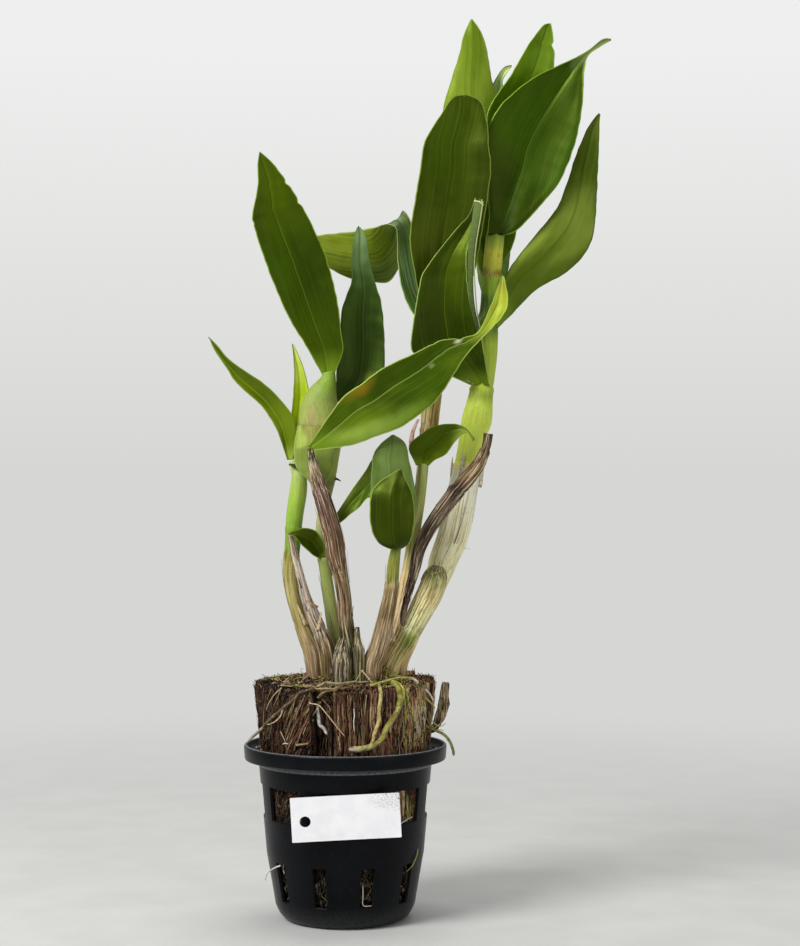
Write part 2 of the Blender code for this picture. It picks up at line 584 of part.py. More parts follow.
def build_husk():
    """The ring of chips round the crown."""
    chips = []
    for number, (start, end, top, set_back) in enumerate(HUSK_CHIPS, 1):
        material = make_material(f"husk_{number:02d}", (0.13, 0.06 + 0.004 * (number % 4), 0.035), 0.9)
        chips.append(build_chip(number, start, end, top, set_back, material))
    return chips


def build_splinter():
    """A thin loose splinter of husk that stands on the ledge and leans on the block."""
    points = [(x, y, z) for y in SPLINTER_SPAN for x, z in SPLINTER]
    count = len(SPLINTER)
    faces = [tuple(range(count)), tuple(reversed(range(count, 2 * count)))]
    faces += [((i + 1) % count, i, i + count, (i + 1) % count + count) for i in range(count)]
    make_object("husk_splinter", points, faces, make_material("husk_splinter", (0.24, 0.16, 0.09), 0.85))


def root_stations(root):
    """The root's middle line: points given without Y lie half sunk in the husk's face."""
    stations = []
    for point in root["path"]:
        if len(point) == 2:
            x, z = point
            radius = husk_outer(z) - root["set_back"] + 0.2
            point = (x, -math.sqrt(radius**2 - x**2), z)
        stations.append((*point, root["radius"]))
    return stations


def build_roots(carriers):
    """The roots, and the grooves that they lie in."""
    colours = {"root_01": (0.42, 0.44, 0.12), "root_02": (0.6, 0.55, 0.34), "root_03": (0.78, 0.76, 0.68),
               "root_04": (0.5, 0.44, 0.32), "root_05": (0.35, 0.36, 0.18)}
    for name, root in ROOTS.items():
        stations = root_stations(root)
        tube(name, stations, ROOT_SIDES, make_material(name, colours[name], 0.6))
        for carrier in carriers:
            cutter = tube("groove", stations, ROOT_SIDES, grow=GAP)
            if touches(carrier, cutter):
                subtract(carrier, cutter)
            else:
                bpy.data.objects.remove(cutter, do_unlink=True)


def cane_tube(name, material=None, grow=0.0):
    """A cane, or with grow the space that its neighbours leave free round it."""
    return tube(name if material else "space", CANES[name], CANE_SIDES, material, grow, SHEATH_DEPTH)


def build_canes(crown):
    """The canes, each standing in its own socket in the crown."""
    for number, name in enumerate(CANES):
        green = 0.16 + 0.02 * (number % 5)
        cane = cane_tube(name, make_material(name, (0.3, green + 0.08, 0.1), 0.6))
        if name == "cane_11":
            subtract(cane, cane_tube("cane_12", grow=GAP))
            keep_largest(cane)
        else:
            subtract(crown, cane_tube(name, grow=GAP))


def leaf_edges(leaf, count):
    """Both edges as evenly spaced points; where a leaf arches over, they are walked in step."""
    if leaf.get("in_step"):
        pairs = [[(p + q) / 2 for p, q in zip(a, b)] + [*a, *b] for a, b in zip(leaf["edge_a"], leaf["edge_b"])]
        walked = smooth_path(pairs, count)
        return [Vector(row[3:6]) for row in walked], [Vector(row[6:9]) for row in walked]
    return [[Vector(point) for point in smooth_path(leaf[edge], count)] for edge in ("edge_a", "edge_b")]


def leaf_blade(name, leaf, material):
    """A leaf between its two edges, folded along its midrib, with the same thickness all over."""
    rows = leaf.get("rows", LEAF_ROWS)
    edge_a, edge_b = leaf_edges(leaf, rows)
    rib = leaf["rib"]
    columns = (0, rib / 2, rib, (1 + rib) / 2, 1)
    middles = [(a + b) / 2 for a, b in zip(edge_a, edge_b)]
    normals = []
    for row in range(rows + 1):
        along = middles[min(row + 1, rows)] - middles[max(row - 1, 0)]
        normals.append(along.cross(edge_b[row] - edge_a[row]).normalized())
    if normals[rows // 2].y > 0:
        normals = [-normal for normal in normals]
    points = []
    for face in (0.5, -0.5):
        for a, b, normal in zip(edge_a, edge_b, normals):
            width = (b - a).length
            for t in columns:
                share = t / rib if t <= rib else (1 - t) / (1 - rib)
                depth = leaf["fold"] * width * (1 - (1 - share) ** 1.6)
                points.append(a.lerp(b, t) + normal * (face * LEAF_THICKNESS - depth))
    wide = len(columns)
    back = wide * (rows + 1)
    faces = []
    for row in range(rows):
        for column in range(wide - 1):
            a = row * wide + column
            b, c, d = a + 1, a + wide + 1, a + wide
            faces += [(a, b, c), (a, c, d), (back + c, back + b, back + a), (back + d, back + c, back + a)]
        left = row * wide
        right = left + wide - 1
        faces.append((left, left + wide, left + wide + back, left + back))
        faces.append((right + wide, right, right + back, right + wide + back))
    top = rows * wide
    for column in range(wide - 1):
        faces.append((column + 1, column, column + back, column + 1 + back))
        faces.append((top + column, top + column + 1, top + column + 1 + back, top + column + back))
    item = make_object(name, points, faces, material)
    work = bmesh.new()
    work.from_mesh(item.data)
    bmesh.ops.recalc_face_normals(work, faces=work.faces)
    work.to_mesh(item.data)
    work.free()
    return item


def build_leaves():
    """The leaves, each with its base shaped to the cane that it grows on."""
    for number, (name, leaf) in enumerate(LEAVES.items()):
        shade = 0.9 + 0.1 * (number % 3)
        blade = leaf_blade(name, leaf, make_material(name, (0.06 * shade, 0.15 * shade, 0.03), 0.45))
        for cane in leaf["canes"]:
            subtract(blade, cane_tube(cane, grow=GAP))
        keep_largest(blade)


def main():
    clear_scene()
    build_pot()
    build_label()
    build_fill()
    crown = build_crown()
    chips = build_husk()
    build_splinter()
    build_canes(crown)
    build_roots([crown, *chips])
    for item in (crown, *chips):
        keep_largest(item)
    build_leaves()


main()
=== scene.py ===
"""Looks of the potted orchid: fine leaves, canes, husk, roots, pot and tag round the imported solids.

Tables hold millimetres in the part's own frame, and MM turns them into metres. Colours are written as
screen values from 0 to 255 and become linear ones through srgb.
"""
import math
import random

import bmesh
import bpy
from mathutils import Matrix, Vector, noise


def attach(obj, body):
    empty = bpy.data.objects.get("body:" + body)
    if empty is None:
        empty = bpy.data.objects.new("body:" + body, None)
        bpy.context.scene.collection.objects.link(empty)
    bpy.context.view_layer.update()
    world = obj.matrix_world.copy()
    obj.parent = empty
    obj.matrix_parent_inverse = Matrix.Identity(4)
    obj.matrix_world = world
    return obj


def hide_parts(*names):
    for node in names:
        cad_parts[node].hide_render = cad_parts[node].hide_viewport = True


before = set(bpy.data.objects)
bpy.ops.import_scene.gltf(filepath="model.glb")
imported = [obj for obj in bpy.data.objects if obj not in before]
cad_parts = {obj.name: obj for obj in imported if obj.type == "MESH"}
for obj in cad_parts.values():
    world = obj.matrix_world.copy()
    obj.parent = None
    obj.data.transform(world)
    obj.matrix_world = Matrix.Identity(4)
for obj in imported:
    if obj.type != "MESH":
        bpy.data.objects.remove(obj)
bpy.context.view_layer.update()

MM = 0.001
BODY = "root"
SEED = 17

# Pot, with the same sizes as the solid
POT_WALL = 1.6
POT_FLOOR = 2.0
POT_OUTER = [(0, 30), (1.2, 33), (4, 35.6), (8, 37.5), (36, 42.3), (85.5, 46.7)]
WINDOW_COUNT = 8
WINDOW_SIZE = (23, 17.5)
WINDOW_MIDDLE = 64.2
SLOT_COUNT = 10
SLOT_SIZE = (7.2, 21)
SLOT_MIDDLE = 22.5
DRAIN_COUNT = 6
DRAIN_SIZE = (12, 3.6)
DRAIN_RADIUS = 19

# Tag
LABEL_SIZE = (56.6, 0.8, 23.4)
LABEL_MIDDLE = (1.4, 61)
LABEL_TILT = 3
LABEL_HOLE_RADIUS = 2.85
LABEL_HOLE = (-21.1, -1.1)
GAP = 0.3

# Fill, crown and husk ring
HUSK_BASE = 46.2
CROWN_RADIUS = 35.8
CROWN_TOP = [(5, 131), (14, 131), (24, 129.5), (31, 127.5), (35.8, 125)]
HUSK_INNER = 36.4
HUSK_OUTER = [(HUSK_BASE, 41.0), (85, 44.3), (88, 44.5), (93.5, 46), (126, 49)]
SET_BACK_SHARE = [(80, 0), (94, 1)]

# Each chip: start and end angle from the front towards +X, top height, how far its face stands back
HUSK_CHIPS = [
    (-84, -45, 126.5, 0),
    (-44, -21.5, 124.5, 0),
    (-20.5, -7, 119, 7),
    (-6, 16.5, 125, 0),
    (17.5, 40.5, 126, 0),
    (41.5, 67, 127, 0),
    (68, 81, 118, 7),
    (82, 128, 127, 0.5),
    (129, 176, 126, 0),
    (177, 222, 125.5, 0.5),
    (223, 275, 125.5, 0),
]
SPLINTER = [(45.4, 98), (49.5, 99.5), (53.6, 106), (56.5, 114), (55.6, 118), (56, 125.5), (52.3, 126),
            (49.6, 112)]
SPLINTER_SPAN = (4, 6.6)
SPLINTER_VOXEL = 0.45

# Canes: middle line from the crown to the tip, as x, y, z and radius
SHEATH_DEPTH = 7.5
CANES = {
    "cane_01": [(-15, -10, 118, 3.5), (-17, -10, 141, 4.2), (-21, -10, 152, 3.6), (-25, -9, 164, 3.4),
                (-28, -8, 175, 3.4), (-29, -7, 187, 3.8), (-28, -6, 202, 4.3), (-27, -6, 216, 4.6),
                (-25, -6, 230, 4.7), (-25, -6, 238, 3.8), (-28.5, -6, 246, 1.9)],
    "cane_02": [(-8, -17, 119, 3.6), (-9, -17, 142, 4.2), (-13, -17, 155, 3.7), (-17, -17, 164, 3.6),
                (-20, -17, 172, 2.4), (-25, -16, 190, 2.0), (-29, -16, 207, 1.4)],
    "cane_03": [(5, -17, 119, 3.2), (4, -18, 140, 3.5), (0.5, -20, 161, 3.9), (0, -21, 172, 3.9),
                (-1.5, -23, 183, 4), (-4, -25, 195, 5), (-6, -25, 207, 5), (-10, -25, 221, 4.5),
                (-13, -25, 231, 3.9), (-16, -25, 242, 2.8), (-18, -25, 252, 1.2)],
    "cane_04": [(-1, -1, 118, 3.2), (-2, -2, 141, 3.2), (-6, -3, 154, 3.2), (-9, -5, 176, 3),
                (-12, -7, 196, 2.7), (-13, -8, 209, 2.7), (-11, -8, 222, 2.7), (-7.5, -8, 236, 2.5),
                (-8, -7, 246, 4.8), (-10, -6, 254, 8.6), (-13, -6, 264, 11.6), (-13, -6, 277, 9.7),
                (-9, -7, 289, 4.3), (-9, -7, 293, 3.6)],
    "cane_05": [(-2, -28, 120, 3.7), (-1.5, -28, 137, 4.4), (-1, -28, 146, 3.2), (0, -28, 152, 1.1)],
    "cane_06": [(8, -26, 120, 2.5), (8, -26, 143, 2.5), (7, -26, 151, 1.6), (7, -26, 158, 0.8)],
    "cane_07": [(14, -22, 119, 4.2), (15, -22, 138, 4.7), (18, -23, 146, 4.5), (22, -25, 163, 4),
                (25, -28, 179, 3.4), (26, -31, 191, 3.2), (28, -33, 204, 2.2)],
    "cane_08": [(19, -4, 117, 3.2), (20, -4, 139, 3.2), (27, -6, 155, 3.2), (33, -9, 182, 3.3),
                (36, -11, 201, 3.2), (40, -14, 225, 2.7), (42, -15, 244, 2.6)],
    "cane_09": [(22, 6, 116, 3), (24, 6, 138, 3), (29, 5, 159, 2.7), (35, 4, 192, 2.7), (39, 3, 219, 2.7),
                (42, 3, 246, 2.8), (45, 4, 263, 4.6), (46, 4, 273, 5), (48, 5, 289, 4.8),
                (51, 6, 308, 3.3)],
    "cane_10": [(27, 15, 115, 4.3), (29, 14, 134, 4.3), (34, 13, 148, 4.8), (40, 10, 165, 5.4),
                (49, 6, 181, 6.5), (53, 5, 192, 7.5), (58, 4, 205, 8.1), (61, 4, 219, 8.1),
                (66, 4, 243, 7.3), (69, 4, 260, 7.4), (71, 4, 268, 8.3), (73, 4, 280, 6.8),
                (74, 4, 288, 6.3), (75, 4, 303, 7), (75, 4, 316, 7.5), (78, 4, 325, 5.7), (79, 5, 345, 5.1),
                (81, 5, 368, 5)],
    "cane_11": [(76.5, -13, 260, 2.4), (75, -13, 252, 2.4), (70, -14, 242, 3.7), (58, -16, 228, 4),
                (47, -18, 213, 3.7), (40, -19, 200, 3.2), (37, -19, 187, 2.6), (33, -18, 172, 1.7),
                (31, -17, 162, 1.6), (33, -16, 154, 1.6)],
    "cane_12": [(23, -14, 118, 4.4), (24, -14, 135, 4.8), (32, -14, 150, 5.4), (40, -14, 165, 6.1),
                (46, -14, 177, 6.8), (48.5, -14, 185, 5.8), (49.5, -14, 189.5, 2.6)],
}

# Leaves: both edges from base to tip, where the midrib lies between them, and how far the blade is folded
# back along it; "in_step" walks the edges together, for a leaf that arches over
LEAVES = {
    "leaf_01": {"edge_a": [(-28, -6, 246), (-26, -8, 257), (-28, -10, 269), (-35, -10, 279),
                           (-45, -10, 288), (-61, -9, 299), (-68, -9, 307), (-73, -9, 312)],
                "edge_b": [(-31, -6, 246), (-34, -7, 255), (-37, -7, 263), (-45, -6, 275), (-58, -6, 287),
                           (-64, -7, 296), (-70, -8, 305), (-72.5, -9, 311)],
                "rib": 0.7, "fold": 0.18},
    "leaf_02": {"edge_a": [(-30, -4.6, 247), (-30, 2, 260), (-29, 4, 273), (-28, 4, 289), (-28, 3, 299),
                           (-29, 3, 309)],
                "edge_b": [(-27, -4.6, 247), (-23, 3, 260), (-20, 5, 273), (-20, 5, 284), (-23, 4, 297),
                           (-28, 3, 308.5)],
                "rib": 0.45, "fold": 0.2},
    "leaf_03": {"edge_a": [(-11, -10, 194), (-11, -13, 201), (-15, -15, 208), (-21, -18, 210),
                           (-26, -20, 209), (-30, -21, 207)],
                "edge_b": [(-13, -10, 193), (-18, -14, 196), (-23, -17, 201), (-26, -20, 205),
                           (-29.5, -21, 206)],
                "rib": 0.5, "fold": 0.12},
    "leaf_04": {"edge_a": [(-12, -8, 291), (-21, -10, 307), (-30, -11, 322), (-40, -13, 345),
                           (-48, -15, 369), (-49, -17, 376), (-46, -18, 391), (-46, -19, 402),
                           (-45, -20, 409)],
                "edge_b": [(-6, -8, 291), (-1, -10, 304), (-2, -12, 315), (-4, -13, 331), (-9, -14, 351),
                           (-15, -15, 366), (-25, -17, 385), (-37, -19, 402), (-44, -20, 408.5)],
                "rib": 0.43, "fold": 0.14},
    "leaf_05": {"edge_a": [(-25, -12, 264), (-27, -16, 253), (-26, -17, 243), (-22, -17, 238),
                           (-16, -16, 231)],
                "edge_b": [(-8, -12, 264), (-5, -16, 254), (-6, -17, 243), (-9, -17, 235), (-15, -16, 230)],
                "rib": 0.5, "fold": -0.1},
    "leaf_06": {"edge_a": [(-5, -4, 277), (-5, 1, 292), (-3, 3, 308), (-2, 4, 327), (3, 4, 343),
                           (3, 4, 355), (5, 5, 369), (7, 6, 373)],
                "edge_b": [(1, -3, 280), (16, 0, 284), (21, 2, 296), (20, 4, 327), (16, 5, 342),
                           (13, 5, 353), (11, 5, 367), (8, 6, 372)],
                "rib": 0.5, "fold": 0.16},
    "leaf_07": {"edge_a": [(49, 6, 307), (35, 10, 328), (30, 12, 341), (28, 13, 356), (28, 13, 367),
                           (27, 14, 373), (23, 16, 375), (20, 18, 375), (16, 20, 374), (11, 21, 373),
                           (5, 22, 372), (-4, 22, 371), (-16, 19, 369), (-24, 16, 365)],
                "edge_b": [(53, 6, 307), (51, 12, 327), (46, 15, 339), (41, 18, 357), (37, 22, 371),
                           (34, 27, 380), (31, 32, 384), (32, 37, 375), (31, 38, 359), (24, 37, 346),
                           (15, 35, 345), (4, 32, 346), (-10, 25, 352), (-24, 17, 362)],
                "rib": 0.5, "fold": 0.06, "in_step": True},
    "leaf_08": {"edge_a": [(-19, -26, 253), (-12, -30, 263), (-1, -34, 278), (10, -36, 286), (21, -37, 294),
                           (36, -37, 301), (50, -36, 308), (63, -34, 310), (71, -32, 314), (79, -31, 332),
                           (83, -30, 343)],
                "edge_b": [(-16, -26, 251), (-5, -31, 252), (6, -34, 254), (17, -36, 258), (30, -36, 263),
                           (43, -36, 272), (51, -36, 280), (63, -36, 299), (71, -35, 308), (83, -33, 321),
                           (86, -32, 329), (84, -30, 342)],
                "rib": 0.36, "fold": 0.12},
    "leaf_09": {"edge_a": [(25, -35, 199), (18, -40, 203), (14, -42, 212), (14, -43, 226), (17, -42, 233),
                           (24, -41, 238), (29, -40, 241)],
                "edge_b": [(31, -35, 200), (35, -40, 204), (37, -42, 215), (36, -43, 227), (33, -42, 235),
                           (30.5, -40, 240)],
                "rib": 0.5, "fold": -0.15},
    "leaf_10": {"edge_a": [(26, -30, 202), (19, -28, 210), (14, -28, 221), (14, -28, 230), (15, -27, 247),
                           (19, -27, 254), (25, -26, 259)],
                "edge_b": [(30, -30, 202), (36, -28, 210), (38, -28, 221), (37, -28, 232), (34, -27, 247),
                           (32, -27, 255), (26.5, -26, 259)],
                "rib": 0.5, "fold": -0.1},
    "leaf_11": {"edge_a": [(29, -30, 198), (32, -24, 213), (32, -22, 231), (25, -21, 245), (16, -19, 247),
                           (11, -17, 240), (3, -16, 229), (-4, -15, 218), (-7, -15, 213.5)],
                "edge_b": [(26, -30, 198), (21, -24, 208), (18, -22, 217), (17, -21, 223), (13, -19, 226),
                           (8, -17, 221), (3, -16, 217), (-3, -15, 212), (-6, -15, 211.5)],
                "rib": 0.5, "fold": 0.12},
    "leaf_12": {"edge_a": [(38, -17, 243), (34, -19, 253), (41, -20, 260), (48, -21, 264), (57, -22, 265),
                           (64, -23, 263), (69, -23, 257)],
                "edge_b": [(45, -17, 243), (48, -19, 246), (54, -20, 249), (58, -21, 255), (62, -22, 259),
                           (65, -23, 260), (68, -23, 255.5)],
                "rib": 0.45, "fold": 0.12},
    "leaf_13": {"edge_a": [(48, 3, 308), (42, -3, 321), (38, -8, 341), (35, -10, 358), (35, -10, 370),
                           (40, -10, 401), (42, -10, 414), (45, -10, 421), (51, -10, 430), (57, -9, 439),
                           (62, -8, 441)],
                "edge_b": [(54, 3, 308), (63, -3, 324), (69, -8, 345), (73, -10, 366), (76, -11, 384),
                           (78, -11, 401), (77, -11, 412), (76, -10, 426), (73, -9, 437), (65, -8, 441.5)],
                "rib": 0.45, "fold": 0.1},
    "leaf_14": {"edge_a": [(68, -3, 286), (51, -16, 293), (38, -20, 301), (35, -22, 307), (37, -23, 323),
                           (40, -23, 340), (43, -23, 347), (51, -22, 358), (59, -21, 368), (66, -19, 376),
                           (69, -18, 385)],
                "edge_b": [(78, -3, 285), (74, -16, 304), (72, -19, 316), (67, -20, 328), (65, -21, 342),
                           (65, -21, 356), (69, -20, 366), (72, -18, 376), (73, -18, 384)],
                "rib": 0.55, "fold": 0.2},
    "leaf_15": {"edge_a": [(76, -0.5, 367), (77, -4, 379), (76, -6, 396), (76, -6, 412), (77, -6, 425),
                           (85, -6, 438), (101, -6, 451), (115, -5, 458), (129, -4, 465), (138, -3, 472),
                           (143, -2, 472.5)],
                "edge_b": [(85, -0.5, 367), (93, -3, 370), (108, -6, 386), (116, -7, 397), (123, -8, 415),
                           (127, -8, 435), (128, -7, 451), (130, -5, 462), (137, -3, 468),
                           (143, -2, 471.5)],
                "rib": 0.5, "fold": 0.12},
    "leaf_16": {"edge_a": [(77, 9, 353), (72, 11, 363), (71, 11, 379), (73, 10, 404), (76, 9, 425),
                           (78, 9, 438), (90, 9, 456), (98, 9, 470), (103, 8, 477), (107, 8, 482),
                           (110, 8, 483)],
                "edge_b": [(85, 9, 353), (91, 11, 363), (95, 11, 382), (103, 11, 415), (108, 11, 436),
                           (113, 10, 459), (113, 9, 472), (111.5, 8, 483)],
                "rib": 0.5, "fold": 0.14},
    "leaf_17": {"edge_a": [(77, 10.5, 337), (69, 18, 361), (59, 21, 388), (55, 22, 416), (53, 21, 438),
                           (58, 20, 456), (62, 18, 469), (64, 17, 478), (68, 16, 487)],
                "edge_b": [(81, 10.5, 337), (84, 18, 361), (84, 21, 388), (84, 22, 416), (84, 21, 440),
                           (80, 20, 454), (77, 18, 471), (74, 17, 480), (69, 16, 487)],
                "rib": 0.5, "fold": -0.1},
    "leaf_18": {"edge_a": [(77, 10.5, 327), (72, 20, 347), (71, 27, 372), (72, 29, 406), (74, 29, 433),
                           (79, 28, 450), (83, 27, 458), (87, 26, 463), (91, 26, 464)],
                "edge_b": [(81, 10.5, 327), (88, 20, 347), (91, 27, 372), (91, 29, 406), (89, 29, 433),
                           (87, 28, 450), (86, 27, 455), (88, 26, 459), (91, 26, 463)],
                "rib": 0.5, "fold": 0.12},
    "leaf_19": {"edge_a": [(80, -1, 320), (83, -1, 337), (89, 2, 350), (102, 4, 367), (114, 5, 382),
                           (120, 5, 397), (125, 6, 412), (131, 6, 426), (137, 6, 434)],
                "edge_b": [(82, 1, 317), (90, 2, 325), (103, 4, 338), (120, 5, 348), (131, 6, 360),
                           (135, 6, 374), (137, 7, 409), (137.5, 6, 429), (138, 6, 433)],
                "rib": 0.42, "fold": -0.1},
}

# Roots: points on the husk's face are (x, z), points off it are (x, y, z)
ROOTS = {
    "root_01": {"radius": 1.55, "set_back": 0,
                "path": [(21, -22, 129.5), (26, -33, 129), (28.5, -39, 127.5), (29.5, 121), (27.5, 114.5),
                         (24.5, 110), (22, 106), (20, 101.6), (17, 99), (13.5, 97.2), (9, 96.4),
                         (3, 96.4)]},
    "root_02": {"radius": 1.0, "set_back": 0,
                "path": [(17, -30, 129), (19, -40, 127.6), (19.4, 123), (18.5, 116.5), (18.5, 111),
                         (17, 106.7), (15.6, 103)]},
    "root_03": {"radius": 0.9, "set_back": 7,
                "path": [(-12, -36, 119.2), (-13.5, 116.5), (-13, 113), (-12.4, 108.3), (-10, 106.2),
                         (-8.5, 103)]},
    "root_04": {"radius": 0.8, "set_back": 0,
                "path": [(-9, -31, 127.5), (-15, -39, 126.6), (-22, -41, 125.2), (-26, 121.5), (-31, 117),
                         (-40.4, 108), (-43, 104.5), (-47.5, -21, 100.5), (-51, -19.5, 97.5)]},
    "root_05": {"radius": 0.8, "set_back": 7,
                "path": [(37, -13, 105.5), (43, -14, 104.5), (48, -14, 102.3), (52.8, -14.3, 99.9),
                         (55.6, -14.8, 96.7), (57.4, -15, 92.5), (58, -15, 88.7)]},
}


# Colour and number helpers

def srgb(red, green, blue):
    """A linear colour from its screen values."""
    result = []
    for value in (red, green, blue):
        share = value / 255
        result.append(share / 12.92 if share <= 0.04045 else ((share + 0.055) / 1.055) ** 2.4)
    return tuple(result)


def lerp(first, second, share):
    """A number or a row of numbers between two others."""
    if isinstance(first, (int, float)):
        return first + (second - first) * share
    return tuple(a + (b - a) * share for a, b in zip(first, second))


def step(value, low, high):
    """0 below low, 1 above high and a soft slope between; with low over high it falls."""
    share = min(1, max(0, (value - low) / (high - low)))
    return share * share * (3 - 2 * share)


def blend(table, height):
    """Straight-line reading of a table of (height, value) rows."""
    for (low, first), (high, second) in zip(table, table[1:]):
        if height <= high:
            return lerp(first, second, min(1, max(0, (height - low) / (high - low))))
    return table[-1][1]


def rough(x, y=0.0, z=0.0):
    """Smooth noise from about -1 to 1."""
    return noise.noise(Vector((x, y, z)))


CURVE_STEPS = 12


def smooth_path(points, count):
    """Points evenly spaced along a smooth curve through the given ones; extra columns go along."""
    fine = []
    rows = [points[0], *points, points[-1]]
    for before, start, end, after in zip(rows, rows[1:], rows[2:], rows[3:]):
        for index in range(CURVE_STEPS):
            t = index / CURVE_STEPS
            weights = (-t + 2 * t**2 - t**3, 2 - 5 * t**2 + 3 * t**3, t + 4 * t**2 - 3 * t**3, t**3 - t**2)
            fine.append([sum(w * row[axis] for w, row in zip(weights, (before, start, end, after))) / 2
                         for axis in range(len(start))])
    fine.append(list(points[-1]))
    lengths = [0]
    for first, second in zip(fine, fine[1:]):
        lengths.append(lengths[-1] + (Vector(second[:3]) - Vector(first[:3])).length)
    result = []
    place = 0
    for index in range(count + 1):
        target = lengths[-1] * index / count
        while place < len(fine) - 2 and lengths[place + 1] < target:
            place += 1
        span = lengths[place + 1] - lengths[place]
        share = (target - lengths[place]) / span if span else 0
        result.append([a + (b - a) * share for a, b in zip(fine[place], fine[place + 1])])
    return result


def path_length(points):
    return sum((Vector(b[:3]) - Vector(a[:3])).length for a, b in zip(points, points[1:]))


def around(radius, degrees, height):
    """A point by its angle from the front, turning towards +X."""
    turn = math.radians(degrees)
    return Vector((radius * math.sin(turn), -radius * math.cos(turn), height))


# Mesh helpers

def make_piece(name, points, faces, materials, marks=None, looks=None, nodes=(), smooth=True):
    """A piece that rides on the body: points in millimetres, marks are named values of its points."""
    mesh = bpy.data.meshes.new(name)
    mesh.from_pydata([tuple(value * MM for value in point) for point in points], [], faces)
    for material in materials:
        mesh.materials.append(material)
    if looks:
        mesh.polygons.foreach_set("material_index", looks)
    kinds = {1: ("FLOAT", "value"), 3: ("FLOAT_VECTOR", "vector"), 4: ("FLOAT_COLOR", "color")}
    for mark, values in (marks or {}).items():
        width = 1 if isinstance(values[0], (int, float)) else len(values[0])
        kind, field = kinds[width]
        attribute = mesh.attributes.new(mark, kind, "POINT")
        flat = values if width == 1 else [number for row in values for number in row]
        attribute.data.foreach_set(field, flat)
    mesh.update()
    if smooth:
        mesh.shade_smooth()
    item = bpy.data.objects.new(name, mesh)
    bpy.context.collection.objects.link(item)
    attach(item, BODY)
    if nodes:
        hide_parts(*nodes)
    return item


def turn_out(item):
    """Make the faces of a closed piece point outwards."""
    work = bmesh.new()
    work.from_mesh(item.data)
    bmesh.ops.recalc_face_normals(work, faces=work.faces)
    work.to_mesh(item.data)
    work.free()


def grid_faces(rows, columns, wrap=False, start=0):
    """Faces between rows of points; wrap joins the last column to the first."""
    faces = []
    for row in range(rows - 1):
        for column in range(columns if wrap else columns - 1):
            a = start + row * columns + column
            b = start + row * columns + (column + 1) % columns
            faces.append((a, b, b + columns, a + columns))
    return faces


def grid_rim(last, columns):
    """Points round a grid whose rows run from 0 to last."""
    rim = [row * columns for row in range(last + 1)]
    rim += [last * columns + column for column in range(1, columns)]
    rim += [row * columns + columns - 1 for row in range(last - 1, -1, -1)]
    return rim + list(range(columns - 2, 0, -1))


def walk(rows):
    """Middle, tangent, side and other side at each row of a path."""
    middles = [Vector(row[:3]) for row in rows]
    last = len(rows) - 1
    side = None
    result = []
    for index, middle in enumerate(middles):
        tangent = (middles[min(index + 1, last)] - middles[max(index - 1, 0)]).normalized()
        if side is None:
            side = tangent.cross(Vector((0, 1, 0)))
            if side.length < 0.1:
                side = tangent.cross(Vector((1, 0, 0)))
        side = (side - tangent * side.dot(tangent)).normalized()
        result.append((middle, tangent, side, tangent.cross(side)))
    return result


def crumb():
    """Corners and faces of a twenty-sided lump of radius 1."""
    work = bmesh.new()
    bmesh.ops.create_icosphere(work, subdivisions=1, radius=1)
    corners = [vertex.co.copy() for vertex in work.verts]
    faces = [tuple(vertex.index for vertex in face.verts) for face in work.faces]
    work.free()
    return corners, faces


CRUMB_POINTS, CRUMB_FACES = crumb()


class Bundle:
    """Many thin strands gathered into one piece."""

    def __init__(self):
        self.points = []
        self.faces = []
        self.paint = []
        self.grain = []

    def strand(self, path, thick, thin, colour, sides=4, spacing=1.2, end_colour=None, flat=1.0):
        """A tapered strand through the path's points; flat under 1 makes it a ribbon facing the front."""
        count = max(2, round(path_length(path) / spacing))
        rows = smooth_path(path, count)
        start = len(self.points)
        for index, (middle, _, side, other) in enumerate(walk(rows)):
            share = index / count
            radius = lerp(thick, thin, share)
            for corner in range(sides):
                turn = math.tau * corner / sides
                out = side * math.cos(turn) + other * math.sin(turn) * flat
                self.points.append(middle + out * radius)
                tone = lerp(colour, end_colour or colour, share)
                self.paint.append((*tone, 1))
                self.grain.append((corner, start * 0.37, share * path_length(path)))
        self.faces += grid_faces(count + 1, sides, True, start)
        self.faces.append(tuple(reversed(range(start, start + sides))))
        end = start + count * sides
        self.faces.append(tuple(range(end, end + sides)))

    def lump(self, middle, size, colour):
        """A small rough crumb."""
        start = len(self.points)
        for corner in CRUMB_POINTS:
            reach = size * (1 + 0.35 * rough(*(middle + corner) * 3.1))
            self.points.append(middle + Vector(corner) * reach)
            self.paint.append((*colour, 1))
            self.grain.append((start * 0.37, corner[0], corner[2]))
        self.faces += [tuple(start + index for index in face) for face in CRUMB_FACES]

    def finish(self, name, material, slot, nodes=()):
        marks = {"paint": self.paint, "grain": self.grain}
        return make_piece(name, self.points, self.faces, [material], marks, nodes=nodes)


# Material helpers

